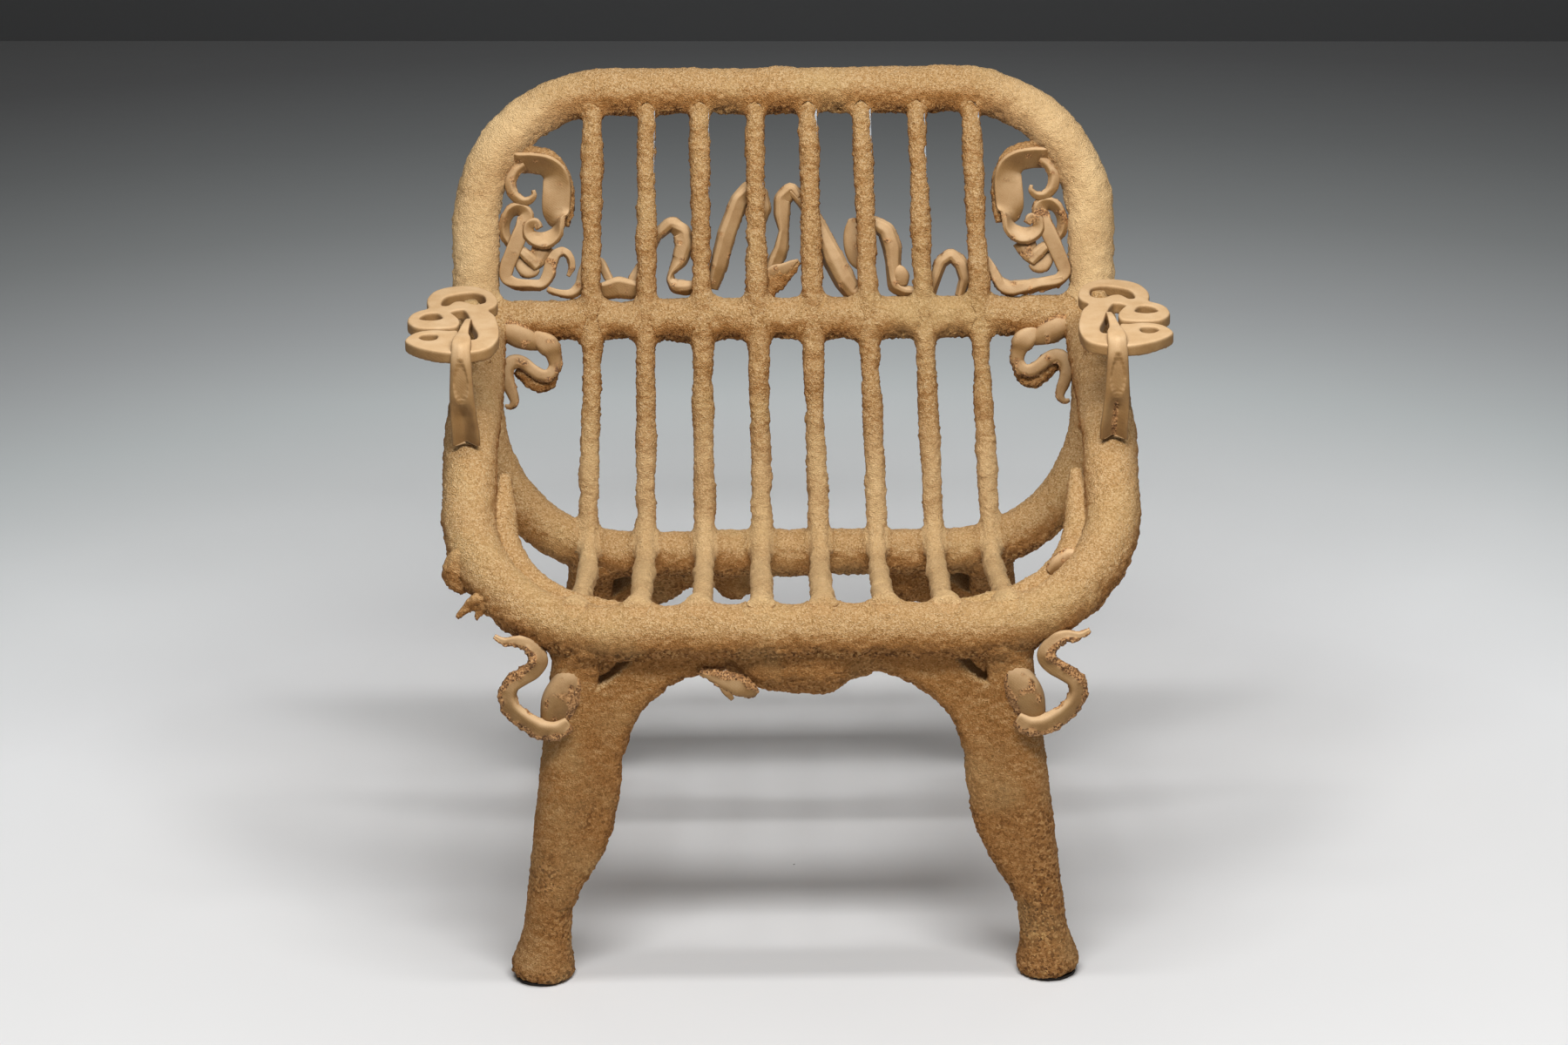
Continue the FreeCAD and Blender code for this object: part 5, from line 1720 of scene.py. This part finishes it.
@dataclass(frozen=True)
class PrintedCompound:
    """Wood flour in resin, printed in fine layers: smooth to the eye with a silky grain of lines.

    Sizes are in millimetres. Real layers are 0.2 mm; the lines are drawn at 1.7 mm, the finest that
    shows in the render. The wave texture has one line in each 0.314 of its scale.

    Attributes:
        layer: The spacing of the lines.
        cloud: The size of the slow patches.
        dust: The size of the fine specks.
        crumb: The size of the crumbs that stick to it.
        bare: Colours by tone where a face is level or looks down, darker: a painted side shade.
        lit_top: Colours where it looks up, paler: a painted top light.
        crust: Colours of the crumbs.
    """

    layer: float = 1.7
    cloud: float = 22.0
    dust: float = 1.2
    crumb: float = 1.6
    bare: tuple = ((0.30, "#76552F"), (0.48, "#88653A"), (0.70, "#947348"))
    lit_top: tuple = ((0.30, "#B18E64"), (0.48, "#BD9C73"), (0.70, "#C7A983"))
    crust: tuple = ((0.08, "#50331A"), (0.32, "#7C542E"), (0.60, "#9A6F43"), (0.92, "#BA8E5E"))

    def build(self) -> bpy.types.Material:
        """Tone the body by noise, cover its back with crumbs, and raise faint lines on steep faces."""
        recipe = Recipe("printed_compound")
        waves = {"Vector": recipe.place, "Scale": 0.314 / (self.layer * METRE), "Distortion": 1.2,
                 "Detail": 1.0}
        lines = add_node(recipe.tree, "TexWave", waves, wave_type="BANDS", bands_direction="DIAGONAL")
        dust = recipe.noise(self.dust, 2.0)
        tone = recipe.blend(0.35, recipe.noise(self.cloud, 4.0), dust)
        # Faces that look up take the paler colours and the rest the darker: a painted top light and side
        # shade.
        upward = recipe.remap(recipe.upward(), From_Min=0.0, From_Max=0.85)
        plain = recipe.paint(upward, recipe.ramp(tone, self.bare), recipe.ramp(tone, self.lit_top))
        crumb_tone, crumb_distance = recipe.cells(self.crumb, "Green")
        cover = recipe.remap(recipe.stored("coarse"), From_Min=0.15, From_Max=0.5)
        colour = recipe.paint(cover, plain, recipe.ramp(crumb_tone, self.crust))
        steep = recipe.remap(upward, To_Min=0.4, To_Max=0.0)
        fine = recipe.math("MULTIPLY_ADD", lines.outputs["Fac"], steep, dust)
        relief = recipe.blend(cover, fine, crumb_distance)
        return recipe.finish(colour, Normal=recipe.bump(relief, 0.35, 0.6), Roughness=0.72,
                             Specular_IOR_Level=0.35)


@dataclass(frozen=True)
class PlainFinish:
    """A finish for a small or hidden piece: one colour broken by fine noise.

    Attributes:
        name: The material's name.
        low: The darker colour.
        high: The lighter colour.
        grain: The noise's size in millimetres.
        metallic: 1 for bare metal.
        roughness: How matt it is.
    """

    name: str
    low: str
    high: str
    grain: float
    metallic: float
    roughness: float

    def build(self) -> bpy.types.Material:
        """Mix the two colours by noise and raise its grain slightly."""
        recipe = Recipe(self.name)
        noise = recipe.noise(self.grain, 3.0)
        colour = recipe.ramp(noise, ((0.35, self.low), (0.65, self.high)))
        return recipe.finish(colour, Normal=recipe.bump(noise, 0.3, 0.3), Roughness=self.roughness,
                             Metallic=self.metallic)


MATERIALS: dict[Slot, bpy.types.Material] = {}


def make_materials() -> None:
    """Build each slot's material once."""
    MATERIALS[Slot.PASTE] = SawdustPaste().build()
    MATERIALS[Slot.PRINT] = PrintedCompound().build()
    MATERIALS[Slot.STEEL] = PlainFinish("hot_rolled_steel", "#55585B", "#7C8084", 3.0, 1.0, 0.45).build()
    MATERIALS[Slot.PAD] = PlainFinish("dark_rubber", "#1D1A18", "#35302C", 1.5, 0.0, 0.8).build()


def dress_solids(nodes: dict, record: dict) -> None:
    """Give each carried-over solid its slot's material in place of the plain one.

    Args:
        nodes: The solids' objects by name.
        record: The row's record, which names each node's slot.
    """
    slots = {row["node"]: row["material_slot"] for row in record["subparts"]}
    for name, node in nodes.items():
        node.data.materials.clear()
        node.data.materials.append(MATERIALS[Slot(slots[name])])


@dataclass(frozen=True)
class Lamp:
    """A soft box. Lengths are in metres.

    Attributes:
        name: Its name.
        place: Where its middle is.
        target: The place that it's turned to.
        size: Its width and depth.
        watts: Its power.
    """

    name: str
    place: tuple
    target: tuple
    size: tuple
    watts: float

    def hang(self) -> None:
        """Put the lamp in the scene."""
        data = bpy.data.lights.new(self.name, "AREA")
        data.shape = "RECTANGLE"
        data.size, data.size_y = self.size
        data.energy = self.watts
        made = link_object(self.name, data)
        made.location = self.place
        way = Vector(self.target) - Vector(self.place)
        made.rotation_euler = way.to_track_quat("-Z", "Y").to_euler()


def stage_mesh(name: str, points: Array, faces: list, material: bpy.types.Material) -> None:
    """Make a mesh from points in millimetres, and put it on the stage."""
    mesh = bpy.data.meshes.new(name)
    mesh.from_pydata((points * METRE).tolist(), [], faces)
    mesh.materials.append(material)
    made = link_object(name, mesh)


@dataclass(frozen=True)
class Studio:
    """The pale floor, the dark wall, the soft lamps and the camera.

    The camera's focal length, tilt and distance are those that lay the solids over the photograph.

    Attributes:
        lens: The camera's focal length.
        tilt: How far it looks down.
        roll: How far it's rolled.
        distance: How far it is from the seat's front.
        right_shift: How far right of it the camera looks.
        up_shift: How far above.
        floor_rings: The floor's colours by distance from floor_middle, which paint the lamps' light
        falling off: palest between 1200 and 1450 mm, and darker both nearer and farther.
        floor_middle: The brightest ring's centre, in x and y.
        wall_back: How far behind the front rail the wall stands.
        wall_skew: How far it's turned.
        wall_colour: Its colour.
        world_colour: The colour of the light from all round, whose strength is world_strength.
        lamps: A long strip ahead, a long strip overhead, a weak fill, and one for the backdrop.
    """

    lens: float = 100.0
    tilt: float = math.radians(21)
    roll: float = math.radians(0.6)
    distance: float = 4600.0
    right_shift: float = -7.4
    up_shift: float = 115.0
    floor_rings: tuple = ((0, "#D1D1D1"), (300, "#D4D4D4"), (600, "#DEDEDE"), (900, "#EAEAEA"),
                          (1200, "#F8F9FA"), (1450, "#F8FAFB"), (1700, "#F3F6F7"), (2050, "#DFE5E6"),
                          (2450, "#C7CBCD"), (2950, "#A9ADAE"), (3450, "#929596"), (4000, "#7D7E7F"),
                          (5000, "#737373"), (9000, "#595959"))
    floor_middle: tuple = (60, -350, 0)
    wall_back: float = 3980.0
    wall_skew: float = math.radians(2.4)
    wall_colour: str = "#505152"
    world_colour: str = "#CCC8C3"
    world_strength: float = 0.14
    lamps: tuple = (Lamp("key", (0.1, -1.14, 1.95), (0.1, -0.05, 0.3), (1.5, 0.3), 43),
                    Lamp("top", (0.1, -0.5, 4.0), (0.1, -0.35, 0.3), (2.8, 0.22), 54),
                    Lamp("fill", (0.9, -2.9, 1.7), (0.9, 0, 0.4), (2.2, 2.2), 3),
                    Lamp("backdrop", (0.1, 2.0, 2.5), (0.1, 2.2, 0), (3.6, 1.2), 14))

    def camera(self, frame: ChairFrame) -> None:
        """Stand the camera in front of the chair, looking down at it."""
        data = bpy.data.cameras.new("camera")
        data.lens = self.lens
        data.sensor_width = 36
        data.clip_end = 50
        made = link_object("camera", data)
        view = np.array([0, math.cos(self.tilt), -math.sin(self.tilt)])
        above = np.array([0, math.sin(self.tilt), math.cos(self.tilt)])
        target = frame.place(0, 0, frame.seat_front_height)
        place = target + RIGHT * self.right_shift + above * self.up_shift - view * self.distance
        made.location = place * METRE
        made.rotation_euler = (Euler((math.pi / 2 - self.tilt, 0, 0)).to_matrix()
                               @ Matrix.Rotation(-self.roll, 3, "Z")).to_euler()
        bpy.context.scene.camera = made

    def floor(self) -> None:
        """Lay a wide floor whose paint darkens away from the chair, as a studio's light falls off."""
        reach = self.floor_rings[-1][0]
        radii = np.concatenate([[1], np.linspace(200, reach, 45)])
        angle = np.linspace(0, 2 * math.pi, 97)[:-1]
        rings = np.stack([radii[:, None] * np.cos(angle), radii[:, None] * np.sin(angle),
                          np.zeros((len(radii), len(angle)))], axis=-1)
        index = np.arange(rings.shape[0] * rings.shape[1]).reshape(rings.shape[:2])
        quads = np.stack([index[:-1], index[1:], np.roll(index[1:], -1, 1), np.roll(index[:-1], -1, 1)], -1)
        recipe = Recipe("studio_floor")
        middle = [number * METRE for number in self.floor_middle]
        away = add_node(recipe.tree, "VectorMath", {0: recipe.place, 1: middle}, operation="DISTANCE")
        share = recipe.math("DIVIDE", away.outputs["Value"], reach * METRE)
        colour = recipe.ramp(share, [(radius / reach, code) for radius, code in self.floor_rings])
        scuffs = add_node(recipe.tree, "TexNoise", {"Vector": recipe.place}, Scale=14.0, Detail=8.0,
                          Roughness=0.7)
        roughness = recipe.remap(scuffs.outputs["Fac"], To_Min=0.45, To_Max=0.62)
        stage_mesh("floor", rings.reshape(-1, 3), quads.reshape(-1, 4).tolist(),
                   recipe.finish(colour, Roughness=roughness, Specular_IOR_Level=0.3))

    def wall(self, frame: ChairFrame) -> None:
        """Stand a dark wall where the photograph's floor ends."""
        skew = 9000 * math.tan(self.wall_skew)
        left = frame.place(-9000, self.wall_back + skew, -1)
        right = frame.place(9000, self.wall_back - skew, -1)
        corners = np.array([left, right, right + UP * 4000, left + UP * 4000])
        paint = PlainFinish("studio_wall", self.wall_colour, self.wall_colour, 300.0, 0.0, 0.8)
        stage_mesh("wall", corners, [(0, 1, 2, 3)], paint.build())

    def lights(self) -> None:
        """Hang the lamps, and fill the room with weak light."""
        for lamp in self.lamps:
            lamp.hang()
        world = bpy.data.worlds.new("studio")
        world.use_nodes = True
        background = world.node_tree.nodes["Background"]
        background.inputs["Color"].default_value = linear(self.world_colour)
        background.inputs["Strength"].default_value = self.world_strength
        bpy.context.scene.world = world

    def build(self, frame: ChairFrame) -> None:
        """Set up the stage."""
        self.camera(frame)
        self.floor()
        self.wall(frame)
        self.lights()
        bpy.context.scene.view_settings.view_transform = "Standard"


def main() -> None:
    logging.basicConfig(level=logging.INFO, format="%(message)s")
    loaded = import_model()
    make_materials()
    dress_solids(loaded["nodes"], loaded["record"])
    frame = ChairFrame()
    crumb = Crumb()
    PasteWork(frame, crumb).build()
    Scrollwork(frame, crumb).build()
    Studio().build(frame)


if __name__ == "__main__":
    main()
